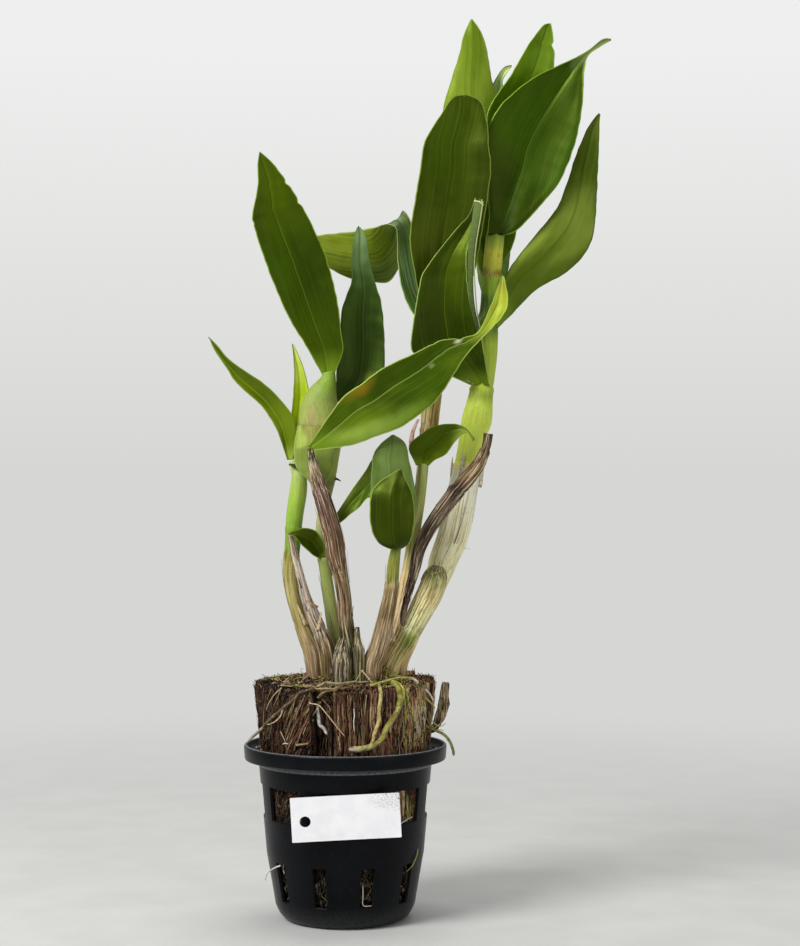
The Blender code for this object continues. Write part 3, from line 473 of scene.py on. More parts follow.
class Graph:
    """A material's nodes, built by small calls that take sockets or plain values."""

    def __init__(self, name, roughness=0.5, specular=0.5):
        self.material = bpy.data.materials.new(name)
        self.material.use_nodes = True
        self.tree = self.material.node_tree
        self.shader = self.tree.nodes["Principled BSDF"]
        self.shader.inputs["Roughness"].default_value = roughness
        self.shader.inputs["Specular IOR Level"].default_value = specular

    def put(self, socket, value):
        if isinstance(value, bpy.types.NodeSocket):
            self.tree.links.new(value, socket)
        elif socket.type == "RGBA" and len(value) == 3:
            socket.default_value = (*value, 1)
        else:
            socket.default_value = value

    def node(self, kind, inputs, **settings):
        item = self.tree.nodes.new(kind)
        for key, value in settings.items():
            setattr(item, key, value)
        for socket, value in inputs.items():
            self.put(item.inputs[socket], value)
        return item

    def mark(self, name, output="Fac"):
        """A named value of the piece's points."""
        return self.node("ShaderNodeAttribute", {}, attribute_name=name).outputs[output]

    def place(self):
        """The point's place in the piece, in millimetres."""
        where = self.node("ShaderNodeTexCoord", {}).outputs["Object"]
        return self.stretch(where, (1 / MM, 1 / MM, 1 / MM))

    def stretch(self, vector, factors):
        return self.node("ShaderNodeVectorMath", {0: vector, 1: factors}, operation="MULTIPLY").outputs[0]

    def axis(self, vector, name):
        return self.node("ShaderNodeSeparateXYZ", {0: vector}).outputs[name]

    def math(self, operation, first, second=0.0, clamp=False):
        item = self.node("ShaderNodeMath", {0: first, 1: second}, operation=operation, use_clamp=clamp)
        return item.outputs[0]

    def mix(self, share, first, second, kind="MIX"):
        inputs = {0: share, 6: first, 7: second}
        return self.node("ShaderNodeMix", inputs, data_type="RGBA", blend_type=kind).outputs[2]

    def tint(self, colour, factors):
        """colour times factors."""
        return self.mix(1.0, colour, factors, "MULTIPLY")

    def noise(self, vector, scale, detail=3.0, roughness=0.55, distortion=0.0):
        inputs = {"Vector": vector, "Scale": scale, "Detail": detail, "Roughness": roughness,
                  "Distortion": distortion}
        return self.node("ShaderNodeTexNoise", inputs).outputs[0]

    def span(self, value, low, high, start=0.0, end=1.0):
        """value's way from low to high, as a soft slope from start to end."""
        inputs = {"Value": value, "From Min": low, "From Max": high, "To Min": start, "To Max": end}
        return self.node("ShaderNodeMapRange", inputs, interpolation_type="SMOOTHSTEP").outputs[0]

    def coat(self, colour, tone, value, low, high, most=1.0):
        """colour, covered with tone as value goes from low to high, by no more than most."""
        return self.mix(self.span(value, low, high, 0, most), colour, tone)

    def finish(self, colour, height=None, strength=0.5, depth=0.3, roughness=None):
        """Link the colour, the bump of the given depth in millimetres and the roughness."""
        self.put(self.shader.inputs["Base Color"], colour)
        if roughness is not None:
            self.put(self.shader.inputs["Roughness"], roughness)
        if height is not None:
            inputs = {"Strength": strength, "Distance": depth * MM, "Height": height}
            bump = self.node("ShaderNodeBump", inputs)
            self.put(self.shader.inputs["Normal"], bump.outputs[0])
        return self.material


# Leaves

# Half a blade's thickness in its middle and at its edge, and how wide the thin margin is
LEAF_HALF = 0.42
LEAF_EDGE_HALF = 0.12
THIN_MARGIN = 3
LEAF_SPACING = 1.2
LEAF_SHEEN = (0.7, 0.95, 0.12, 1)
RIB_GROOVE = 0.3
RIB_REACH = 0.7
CUP_POWER = 1.6
WAVE_HEIGHT = 0.55
RIPPLE_HEIGHT = 0.35
WAVY_WIDTH = 12
EDGE_WAVER = 0.3

DARK_LEAF = {"deep": (40, 62, 2), "body": (64, 90, 4), "rib": (88, 112, 24), "margin": (128, 152, 54),
             "base": (112, 140, 30), "under": (92, 116, 50), "zones": [], "nicks": [], "lines": 0.16,
             "shade": 1.0, "ragged": 0}


def leaf_look(**changes):
    return {**DARK_LEAF, **changes}


# Colours of each leaf's front face; "under" is its other face, "zones" are x, z, reach, colour and strength
# of soft patches, a few of them real marks such as spots, tears and pale tips and others painted highlight
# and painted shade where the blade catches or loses the light, "nicks" are x, z, depth and reach of bites in
# the margin, "lines" is how striped the blade is and "shade" how bright; "ragged" is how uneven the blade's
# lower end is
LEAF_LOOKS = {
    "leaf_01": leaf_look(shade=0.9, deep=(72, 94, 2), body=(104, 124, 10), base=(160, 182, 66),
                         rib=(128, 148, 34),
                         zones=[(-31, 266, 12, (126, 148, 30), 0.7), (-66, 303, 12, (60, 84, 4), 0.6)]),
    "leaf_02": leaf_look(shade=1.24, deep=(138, 158, 24), body=(166, 184, 48), rib=(186, 200, 84),
                         under=(128, 150, 50), zones=[(-28, 303, 12, (190, 200, 104), 0.6)]),
    "leaf_03": leaf_look(deep=(42, 56, 2), body=(60, 76, 4), zones=[(-26, 209, 5, (104, 120, 40), 0.6)]),
    "leaf_04": leaf_look(shade=0.8, deep=(40, 64, 1), body=(62, 88, 2), rib=(86, 112, 30),
                         zones=[(-38, 392, 22, (80, 102, 2), 0.8), (-17, 348, 20, (30, 50, 2), 0.85),
                                (-12, 320, 12, (62, 84, 2), 0.6), (-36, 345, 16, (56, 88, 2), 0.7)],
                         nicks=[(-30, 393, 1.0, 1.2), (-23, 383, 1.2, 1.4), (-48, 372, 1.0, 1.2)]),
    "leaf_05": leaf_look(deep=(112, 132, 54), body=(140, 158, 74), rib=(160, 172, 92),
                         margin=(156, 170, 90), base=(150, 142, 78), lines=0.3, ragged=2.4, shade=0.95,
                         zones=[(-17, 259, 8, (160, 148, 84), 0.6), (-21, 250, 6, (120, 140, 60), 0.5)]),
    "leaf_06": leaf_look(deep=(32, 56, 18), body=(56, 82, 32), rib=(84, 110, 62), margin=(88, 116, 60),
                         base=(44, 66, 20), lines=0.35, shade=0.95,
                         zones=[(5, 372, 17, (128, 154, 106), 0.95), (6, 352, 9, (96, 126, 76), 0.5),
                                (14, 318, 13, (28, 48, 16), 0.7), (3, 300, 10, (66, 90, 44), 0.6)],
                         nicks=[(20, 309, 0.7, 0.9)]),
    "leaf_07": leaf_look(deep=(46, 66, 14), body=(70, 98, 38), rib=(90, 116, 60), margin=(170, 190, 120),
                         base=(84, 112, 60), under=(126, 146, 24), lines=0.85,
                         zones=[(-9, 361, 18, (178, 196, 62), 0.85), (22, 362, 13, (96, 114, 22), 0.8),
                                (-2, 347, 8, (66, 84, 8), 0.7), (14, 348, 9, (60, 76, 8), 0.7),
                                (38, 352, 16, (84, 112, 74), 0.7)]),
    # leaf_08: the light strip of zones along its lower edge, from x -4 to 40, is a painted highlight on the
    # fold
    "leaf_08": leaf_look(deep=(52, 76, 4), body=(78, 102, 10), rib=(150, 172, 84), margin=(168, 188, 92),
                         zones=[(-6, 266, 11, (58, 80, 4), 0.85), (18, 284, 14, (38, 60, 2), 0.95),
                                (42, 298, 14, (42, 66, 2), 0.95), (30, 276, 9, (36, 58, 2), 0.9),
                                (50, 288, 8, (46, 70, 2), 0.8), (-4, 256, 7, (112, 136, 44), 0.7),
                                (7, 258.5, 7.5, (126, 150, 58), 0.7), (18, 261.5, 8, (130, 152, 62), 0.7),
                                (29, 266.5, 8, (118, 142, 52), 0.65), (40, 273, 7, (98, 124, 36), 0.6),
                                (9, 283, 6, (142, 112, 24), 0.75), (3, 279, 4.5, (116, 104, 20), 0.55),
                                (60, 308, 1.9, (226, 222, 190), 0.9), (46, 295, 1.4, (176, 184, 130), 0.5),
                                (82, 330, 16, (170, 178, 54), 0.95), (72, 316, 9, (150, 166, 44), 0.8),
                                (84, 338, 4, (150, 132, 40), 0.6)],
                         nicks=[(60, 309, 1.2, 1.5), (47, 305, 1.2, 1.5)]),
    "leaf_09": leaf_look(shade=0.77, deep=(40, 56, 2), body=(62, 78, 4), margin=(150, 170, 70),
                         rib=(54, 74, 4),
                         zones=[(19, 233, 4, (104, 126, 38), 0.6), (25, 238.5, 4.5, (136, 156, 66), 0.85),
                                (31, 236, 3.5, (124, 146, 54), 0.6), (20, 214, 9, (44, 62, 2), 0.6)]),
    "leaf_10": leaf_look(deep=(80, 102, 44), body=(104, 126, 66), rib=(66, 90, 44), margin=(118, 140, 84),
                         lines=0.35, zones=[(26, 250, 12, (116, 138, 76), 0.6)]),
    "leaf_11": leaf_look(shade=1.08, deep=(60, 80, 16), body=(88, 106, 34), lines=0.2,
                         zones=[(14, 224, 12, (60, 84, 8), 0.6), (26, 243, 9, (92, 118, 50), 0.6)]),
    "leaf_12": leaf_look(shade=1.25, deep=(48, 62, 4), body=(72, 86, 8),
                         zones=[(66, 260, 7, (124, 142, 58), 0.85), (44, 255, 9, (52, 68, 4), 0.6)]),
    "leaf_13": leaf_look(shade=0.73, deep=(44, 62, 2), body=(62, 84, 4), rib=(36, 52, 2), lines=0.3,
                         margin=(130, 150, 66),
                         zones=[(55, 420, 24, (68, 98, 4), 0.75), (44, 360, 20, (82, 92, 16), 0.6),
                                (70, 368, 16, (40, 54, 2), 0.8), (54, 345, 14, (74, 84, 12), 0.5)]),
    "leaf_14": leaf_look(shade=0.73, deep=(42, 64, 1), body=(64, 90, 2), margin=(160, 182, 96),
                         zones=[(58, 352, 11, (94, 120, 2), 0.65), (60, 336, 9, (80, 106, 2), 0.5),
                                (46, 322, 12, (30, 46, 2), 0.8), (70, 378, 7, (104, 122, 40), 0.7)]),
    "leaf_15": leaf_look(shade=0.74, deep=(34, 60, 2), body=(54, 86, 4), rib=(80, 112, 40),
                         base=(24, 44, 6), under=(96, 118, 60),
                         zones=[(96, 430, 24, (50, 88, 2), 0.7), (118, 402, 20, (36, 94, 4), 0.8),
                                (84, 392, 15, (20, 38, 4), 0.9), (86, 366, 3.4, (106, 128, 72), 0.7),
                                (88.5, 374, 3.4, (100, 122, 66), 0.65), (91, 382, 3.4, (94, 118, 60), 0.6),
                                (94, 390, 3.2, (84, 110, 46), 0.55), (97, 398, 3, (76, 104, 34), 0.5),
                                (137, 471, 12, (170, 188, 124), 1.0)]),
    "leaf_16": leaf_look(deep=(56, 84, 2), body=(82, 114, 10), margin=(140, 164, 72),
                         nicks=[(113, 471, 1.3, 1.5)],
                         zones=[(110, 470, 12, (104, 132, 34), 0.7), (84, 430, 14, (56, 84, 2), 0.6)]),
    "leaf_17": leaf_look(shade=1.03, deep=(96, 120, 24), body=(122, 144, 44), rib=(92, 114, 26),
                         margin=(134, 156, 66), lines=0.25, zones=[(60, 460, 14, (128, 152, 48), 0.6)]),
    "leaf_18": leaf_look(shade=1.5, deep=(92, 116, 56), body=(120, 142, 84), under=(120, 142, 84),
                         zones=[(87, 456, 16, (148, 162, 108), 0.95)]),
    "leaf_19": leaf_look(deep=(72, 90, 20), body=(104, 120, 44), rib=(62, 82, 18), margin=(76, 96, 26),
                         under=(56, 82, 12), lines=0.25, shade=1.06,
                         zones=[(98, 340, 16, (60, 78, 16), 0.75), (122, 378, 14, (110, 126, 50), 0.4),
                                (133, 405, 14, (54, 78, 10), 0.75), (128, 355, 9, (58, 76, 18), 0.7)]),
}


def leaf_edges(leaf, count):
    """Both edges as evenly spaced points; where a leaf arches over, they are walked in step."""
    if leaf.get("in_step"):
        both = zip(leaf["edge_a"], leaf["edge_b"])
        pairs = [[(p + q) / 2 for p, q in zip(a, b)] + [*a, *b] for a, b in both]
        walked = smooth_path(pairs, count)
        return [Vector(row[3:6]) for row in walked], [Vector(row[6:9]) for row in walked]
    return [[Vector(point) for point in smooth_path(leaf[edge], count)] for edge in ("edge_a", "edge_b")]


def leaf_normals(edge_a, edge_b):
    """The direction that each row of a blade faces, towards the front."""
    middles = [(a + b) / 2 for a, b in zip(edge_a, edge_b)]
    last = len(middles) - 1
    normals = []
    for row in range(last + 1):
        along = middles[min(row + 2, last)] - middles[max(row - 2, 0)]
        wide = edge_b[row] - edge_a[row]
        normals.append(along.cross(wide).normalized() if wide.length > 0.4 else normals[-1].copy())
    if normals[last // 2].y > 0:
        normals = [-normal for normal in normals]
    return normals


def leaf_material(name, look, tone):
    """A leathery blade: clouds of two greens, soft zones that are partly painted highlight and painted
    shade, lengthwise veins, a painted shadow line beside the midrib, midrib, margin and base.
    """
    graph = Graph(name, specular=0.36)
    graph.shader.inputs["Specular Tint"].default_value = LEAF_SHEEN
    grain = graph.mark("grain", "Vector")
    across = graph.axis(grain, "X")
    edge = graph.mark("edge")
    along = graph.mark("along")
    clouds = graph.noise(graph.stretch(grain, (0.08, 0.025, 1)), 1.0, 3)
    veins = graph.noise(graph.stretch(grain, (1.5, 0.012, 1)), 1.0, 2, distortion=0.15)
    speckle = graph.noise(grain, 1.8, 3)
    cross = graph.noise(graph.stretch(grain, (0.25, 0.9, 1)), 1.0, 2)
    body = leaf_tone(look, tone)
    deep = leaf_tone(look, "deep")
    roughness = (0.3, 0.4)
    if tone == "under":
        deep = lerp(body, deep, 0.5)
        roughness = (0.44, 0.56)
    colour = graph.coat(deep, body, clouds, 0.34, 0.66)
    colour = graph.mix(graph.mark("zone", "Alpha"), colour, graph.mark("zone", "Color"))
    darker = graph.tint(colour, (0.42, 0.45, 0.4))
    lighter = graph.mix(0.35, colour, srgb(*look["margin"]))
    lines = look["lines"]
    colour = graph.coat(colour, lighter, veins, 0.52, 0.72, lines)
    colour = graph.coat(colour, darker, veins, 0.46, 0.3, lines * 1.2)
    colour = graph.coat(colour, lighter, speckle, 0.6, 0.8, 0.12)
    colour = graph.coat(colour, darker, speckle, 0.4, 0.25, 0.15)
    shadow = graph.math("ABSOLUTE", graph.math("ADD", across, 0.55))
    colour = graph.coat(colour, darker, shadow, 0.5, 0.1, 0.45)
    ridge = graph.math("ABSOLUTE", graph.math("SUBTRACT", across, 0.2))
    colour = graph.coat(colour, srgb(*look["rib"]), ridge, 0.55, 0.12, 0.42)
    colour = graph.coat(colour, srgb(*look["base"]), along, 0.14, 0.0, 0.8)
    wobble = graph.math("ADD", edge, graph.math("MULTIPLY", speckle, 0.35))
    colour = graph.coat(colour, srgb(*look["margin"]), wobble, 0.95, 0.45, 0.85)
    height = graph.math("ADD", graph.math("MULTIPLY", veins, 0.8), graph.math("MULTIPLY", speckle, 0.25))
    height = graph.math("ADD", height, graph.math("MULTIPLY", cross, 0.3))
    return graph.finish(colour, height, 0.4, 0.12, graph.span(speckle, 0.3, 0.7, *roughness))


def leaf_tone(look, key):
    """One of a blade's colours, with its shade."""
    return srgb(*[value * look["shade"] for value in look[key]])


def paint_zones(look, point, seed, grow):
    """Colour and cover of the soft zones at a point, drawn out along the way that the piece grows; on the
    leaves many of them are painted highlight and painted shade.
    """
    colour = (0, 0, 0)
    cover = 0
    for x, z, reach, tone, strength in look["zones"]:
        off = Vector((point.x - x, point.z - z))
        along = off.dot(grow) * 0.6
        aside = (off.x * grow.y - off.y * grow.x) * 1.15
        far = math.hypot(along, aside) + 0.3 * reach * rough(point.x * 0.16, point.z * 0.16, seed)
        share = strength * step(far, reach * 1.15, 0)
        colour = lerp(colour, srgb(*[value * look["shade"] for value in tone]), share)
        cover = lerp(cover, 1, share)
    if not cover:
        return (0, 0, 0, 0)
    return (*[value / cover for value in colour], cover)


def bite(look, edge, other):
    """An edge with small nicks and a slight waver, each point moved towards the other edge."""
    result = []
    for point, across in zip(edge, other):
        inward = across - point
        depth = EDGE_WAVER * rough(point.x * 0.23, point.z * 0.23, 5) * min(1, inward.length / 8)
        for x, z, size, reach in look["nicks"]:
            depth += size * math.exp(-(math.hypot(point.x - x, point.z - z) / reach) ** 2)
        result.append(point + inward.normalized() * depth if inward.length > 1 else point)
    return result


def growth(edge_a, edge_b):
    """The way that each row of a blade grows, seen from the front."""
    middles = [(a + b) / 2 for a, b in zip(edge_a, edge_b)]
    last = len(middles) - 1
    return [(middles[min(row + 3, last)] - middles[max(row - 3, 0)]).xz.normalized()
            for row in range(last + 1)]


def leaf_lift(leaf, seed, t, width, along, face):
    """How far a face of the blade stands off its flat form at a share t of the width."""
    rib = leaf["rib"]
    share, side = (t / rib, 1) if t <= rib else ((1 - t) / (1 - rib), -1)
    across = side * (1 - share)
    fold = leaf["fold"] * width * (1 - (1 - share) ** CUP_POWER)
    margin = min(t, 1 - t) * width
    thick = LEAF_EDGE_HALF + (LEAF_HALF - LEAF_EDGE_HALF) * step(margin, 0, THIN_MARGIN)
    groove = RIB_GROOVE * math.exp(-(abs(t - rib) * width / RIB_REACH) ** 2)
    if leaf["fold"] < 0:
        groove = -groove
    waviness = min(1, width / WAVY_WIDTH)
    wave = WAVE_HEIGHT * rough(across * 1.4 + seed, along * 4.5, seed) * waviness
    ripple = RIPPLE_HEIGHT * rough(seed * 3.1, along * 11, across * 1.2) * (1 - share) * waviness
    return face * thick - fold - groove + wave + ripple


def build_leaf(name):
    """One blade with its two faces, midrib groove, thin margins and slight waves."""
    leaf = LEAVES[name]
    look = LEAF_LOOKS[name]
    seed = int(name[-2:])
    length = path_length(leaf["edge_b"])
    rows = max(20, round(length / LEAF_SPACING))
    edge_a, edge_b = leaf_edges(leaf, rows)
    edge_a, edge_b = bite(look, edge_a, edge_b), bite(look, edge_b, edge_a)
    normals = leaf_normals(edge_a, edge_b)
    grows = growth(edge_a, edge_b)
    widest = max((b - a).length for a, b in zip(edge_a, edge_b))
    half = max(7, round(widest / LEAF_SPACING / 2))
    rib = leaf["rib"]
    columns = [rib * i / half for i in range(half)] + [rib + (1 - rib) * i / half for i in range(half + 1)]
    points = []
    grain = []
    edges = []
    alongs = []
    zones = []
    for face in (1, -1):
        for row, (a, b, normal) in enumerate(zip(edge_a, edge_b, normals)):
            width = (b - a).length
            along = row / rows
            for t in columns:
                point = a.lerp(b, t) + normal * leaf_lift(leaf, seed, t, width, along, face)
                point.z += look["ragged"] * rough(t * 5, seed) * max(0, 1 - along * 8)
                points.append(point)
                grain.append((math.copysign(abs(t - rib) * width, t - rib), along * length, seed * 7.3))
                edges.append(min(t, 1 - t) * width)
                alongs.append(along)
                zones.append(paint_zones(look, point, seed, grows[row]))
    wide = len(columns)
    back = wide * (rows + 1)
    front = grid_faces(rows + 1, wide)
    faces = front + [tuple(back + i for i in reversed(face)) for face in front]
    looks = [0] * len(front) + [1] * len(front)
    rim = grid_rim(rows, wide)
    for first, second in zip(rim, rim[1:] + rim[:1]):
        faces.append((first, second, second + back, first + back))
        looks.append(0)
    materials = [leaf_material(f"{name}_front", look, "body"), leaf_material(f"{name}_back", look, "under")]
    marks = {"grain": grain, "edge": edges, "along": alongs, "zone": zones}
    item = make_piece(f"{name}_blade", points, faces, materials, marks, looks, [name])
    turn_out(item)


def build_leaves():
    for name in LEAVES:
        build_leaf(name)


# Canes

CANE_SPACING = 1.0
CANE_SIDES = 36
SHEATH_STEP = 0.32
MOST_PROUD = 0.6
LOW_GREEN, CLEAR_GREEN = 0.01, 0.03
CANE_LINE = (0.16, 0.12, 0.08)

# "bands" are heights and colours from the base up, "ridges" is their depth, "rings" are heights and sizes of
# nodes, "sheaths" are heights where a papery layer ends, with its raggedness, "dry" is how fibrous the skin
# is, "zones" are patches as on the leaves, and "line" is how the dark fibres tint the skin
CANE_LOOKS = {
    "cane_01": {"shade": 1.0,
                "bands": [(118, (116, 92, 66)), (130, (150, 122, 92)), (150, (168, 142, 98)),
                          (158, (150, 132, 70)), (172, (168, 158, 92)), (190, (164, 152, 74)),
                          (196, (126, 124, 44)), (199, (128, 164, 42)), (208, (124, 158, 40)),
                          (211, (138, 176, 46)), (225, (156, 190, 60)), (236, (168, 192, 90)),
                          (246, (186, 200, 132))],
                "ridges": 0.12, "rings": [(209, 0.25), (243, 0.3)], "sheaths": [(155, 3), (196, 1)],
                "dry": 0.55},
    "cane_02": {"shade": 0.9,
                "bands": [(118, (104, 84, 54)), (135, (132, 112, 60)), (150, (138, 112, 78)),
                          (155, (150, 132, 118)), (172, (196, 180, 166)), (190, (206, 192, 178)),
                          (207, (150, 130, 110))],
                "ridges": 0.35, "rings": [(153, 0.6)], "sheaths": [(154, 3)], "dry": 1.0},
    "cane_03": {"shade": 0.8,
                "bands": [(118, (92, 84, 40)), (136, (82, 86, 32)), (150, (88, 92, 36)),
                          (156, (96, 84, 44)), (160, (168, 142, 104)), (180, (158, 126, 88)),
                          (205, (150, 112, 80)), (224, (146, 108, 92)), (230, (128, 84, 84)),
                          (234, (172, 142, 112)), (242, (196, 172, 140)), (244, (214, 200, 160)),
                          (247, (84, 82, 40)), (252, (70, 72, 34))],
                "ridges": 0.34, "rings": [(229, 0.35), (244, 0.4)], "sheaths": [(158, 4)], "dry": 1.0},
    "cane_04": {"shade": 1.0,
                "bands": [(118, (104, 96, 50)), (140, (142, 146, 82)), (170, (160, 170, 96)),
                          (192, (150, 164, 78)), (196, (172, 176, 120)), (225, (178, 184, 118)),
                          (234, (132, 136, 66)), (238, (160, 176, 74)), (262, (168, 182, 84)),
                          (280, (150, 170, 76)), (293, (136, 160, 62))],
                "ridges": 0.1, "rings": [(193, 0.3), (236, 0.35), (256, -0.5)], "sheaths": [(194, 2)],
                "dry": 0.4,
                "zones": [(-18, 268, 6, (172, 148, 100), 0.7), (-12, 262, 4, (196, 176, 132), 0.6),
                          (-9, 288, 6, (132, 170, 40), 0.9), (-5, 272, 5, (140, 158, 74), 0.6),
                          (-20, 258, 5, (132, 146, 72), 0.6), (-4, 244, 5, (170, 176, 66), 0.7)]},
    "cane_05": {"shade": 0.56,
                "bands": [(118, (96, 76, 58)), (130, (208, 186, 146)), (145, (226, 206, 166)),
                          (152, (160, 140, 112))],
                "ridges": 0.55, "rings": [], "sheaths": [(148, 2)], "dry": 1.4},
    "cane_06": {"shade": 0.88,
                "bands": [(118, (92, 84, 56)), (140, (130, 120, 84)), (152, (150, 140, 112)),
                          (158, (70, 62, 50))],
                "ridges": 0.4, "rings": [(146, 0.4)], "sheaths": [(150, 2)], "dry": 1.2},
    "cane_07": {"shade": 0.93,
                "bands": [(118, (120, 98, 70)), (130, (152, 124, 90)), (150, (160, 134, 98)),
                          (160, (180, 154, 118)), (164, (138, 114, 74)), (178, (160, 134, 92)),
                          (181, (190, 176, 122)), (184, (150, 152, 60)), (196, (146, 152, 56)),
                          (204, (112, 132, 36))],
                "ridges": 0.3, "rings": [(180, 0.3)], "sheaths": [(161, 3), (181, 2)], "dry": 0.8},
    "cane_08": {"shade": 1.28,
                "bands": [(117, (116, 98, 62)), (140, (164, 142, 108)), (165, (186, 164, 128)),
                          (185, (180, 160, 110)), (200, (150, 146, 84)), (225, (140, 146, 76)),
                          (244, (124, 132, 64))],
                "ridges": 0.24, "rings": [(203, 0.3)], "sheaths": [(186, 4)], "dry": 0.8},
    "cane_09": {"shade": 1.0,
                "bands": [(116, (120, 100, 66)), (150, (158, 136, 100)), (200, (176, 150, 112)),
                          (240, (186, 150, 126)), (258, (196, 164, 132)), (263, (150, 128, 66)),
                          (280, (160, 142, 70)), (300, (132, 140, 50)), (308, (120, 142, 42))],
                "ridges": 0.22, "rings": [(262, 0.4)], "sheaths": [(260, 2)], "dry": 0.8},
    "cane_10": {"shade": 1.37,
                "bands": [(115, (130, 112, 76)), (140, (180, 156, 110)), (170, (206, 182, 138)),
                          (215, (220, 200, 156)), (236, (228, 212, 170)), (241, (206, 198, 134)),
                          (245, (158, 172, 66)), (275, (150, 166, 56)), (281, (110, 124, 34)),
                          # cane_10: the dark greens from 318 to 332 are painted shade under the leaves, and
                          # the bright yellow round 358 is a painted highlight
                          (285, (126, 144, 36)), (308, (124, 144, 34)), (318, (70, 92, 16)),
                          (332, (60, 86, 16)), (336, (100, 128, 24)), (344, (116, 138, 26)),
                          (347, (112, 96, 22)), (350, (142, 146, 34)), (358, (164, 164, 56)),
                          (368, (84, 104, 24))],
                "ridges": 0.16, "rings": [(284, 0.5), (346, 0.6)], "sheaths": [(242, 7)], "dry": 0.75,
                "line": (0.46, 0.33, 0.2)},
    "cane_11": {"shade": 1.06,
                "bands": [(154, (150, 128, 108)), (166, (150, 126, 112)), (172, (84, 62, 52)),
                          (190, (86, 66, 56)), (212, (92, 72, 60)), (226, (104, 80, 66)),
                          (228, (48, 34, 28)), (231, (60, 44, 34)), (234, (132, 106, 76)),
                          (252, (136, 112, 80)), (260, (70, 54, 40))],
                "ridges": 0.75, "rings": [(229, 0.8), (172, 0.4), (250, 0.5)], "sheaths": [], "dry": 1.3},
    "cane_12": {"shade": 1.37,
                "bands": [(118, (120, 106, 70)), (132, (156, 140, 98)), (143, (182, 162, 114)),
                          (149, (172, 160, 104)), (155, (204, 190, 138)), (168, (196, 180, 134)),
                          (178, (160, 154, 108)), (186, (108, 108, 62)), (189.5, (78, 76, 48))],
                "ridges": 0.2, "rings": [(155, 0.6)], "sheaths": [(144, 2)], "dry": 0.9,
                "line": (0.34, 0.27, 0.15),
                "zones": [(33, 149, 8, (72, 92, 18), 1.0), (37, 152, 4, (104, 120, 34), 0.8),
                          (48, 184, 6, (96, 102, 54), 0.6)]},
}


def cane_material(name, look):
    """Fibrous sheath or smooth skin over the painted zones, with streaks along the cane."""
    graph = Graph(name, specular=0.35)
    grain = graph.mark("grain", "Vector")
    paint = graph.mark("paint", "Color")
    dry = graph.mark("dry")
    fibres = graph.noise(graph.stretch(grain, (1.3, 1.3, 0.035)), 1.0, 4, 0.7)
    hairs = graph.noise(graph.stretch(grain, (3.2, 3.2, 0.08)), 1.0, 2)
    flecks = graph.noise(graph.stretch(grain, (1, 1, 0.45)), 0.9, 4)
    dark = graph.tint(paint, look.get("line", CANE_LINE))
    light = graph.mix(0.66, paint, srgb(244, 230, 186))
    strong = graph.math("MULTIPLY", dry, 0.95, True)
    colour = graph.mix(graph.math("MULTIPLY", graph.span(fibres, 0.5, 0.4), strong), paint, dark)
    colour = graph.mix(graph.math("MULTIPLY", graph.span(fibres, 0.52, 0.64), strong), colour, light)
    hairy = graph.math("MULTIPLY", graph.span(hairs, 0.56, 0.68), graph.math("MULTIPLY", strong, 0.85))
    colour = graph.mix(hairy, colour, dark)
    colour = graph.coat(colour, dark, flecks, 0.66, 0.78, 0.55)
    height = graph.math("ADD", fibres, graph.math("MULTIPLY", hairs, 0.6))
    roughness = graph.span(dry, 0, 0.8, 0.42, 0.82)
    return graph.finish(colour, height, 0.7, 0.35, roughness)


def cane_skin(look, turn, z, seed):
    """How far the skin stands out at a turn and height, its colour and how dry it is."""
    around_x, around_y = math.cos(turn), math.sin(turn)
    ragged = rough(around_x * 2.3 + seed, around_y * 2.3, z * 0.05)
    ridge = rough(around_x * 3.4 + seed, around_y * 3.4, z * 0.02)
    ridge += 0.6 * rough(around_x * 8, around_y * 8, z * 0.03)
    proud = look["ridges"] * ridge
    for height, size in look["rings"]:
        proud += size * math.exp(-((z - height + 0.4 * ragged) / 1.1) ** 2)
        proud -= 0.6 * size * math.exp(-((z - height - 2.2 + 0.4 * ragged) / 0.8) ** 2)
    sheathed = 0
    for height, rags in look["sheaths"]:
        end = height + rags * (ragged * 1.6 + rough(around_x * 6, around_y * 6, seed))
        if z < end:
            sheathed = 1
        proud += SHEATH_STEP * step(z, end + 0.2, end - 0.5)
    shift = z + 2.2 * ragged + 0.8 * rough(around_x * 7, around_y * 7, z * 0.2)
    colour = srgb(*[min(250, value * look["shade"]) for value in blend(look["bands"], shift)])
    green = colour[1] - colour[0]
    dry = look["dry"] * (1 if green < LOW_GREEN else 0.35)
    if sheathed and green < CLEAR_GREEN:
        dry = max(dry, look["dry"])
    return proud, colour, dry


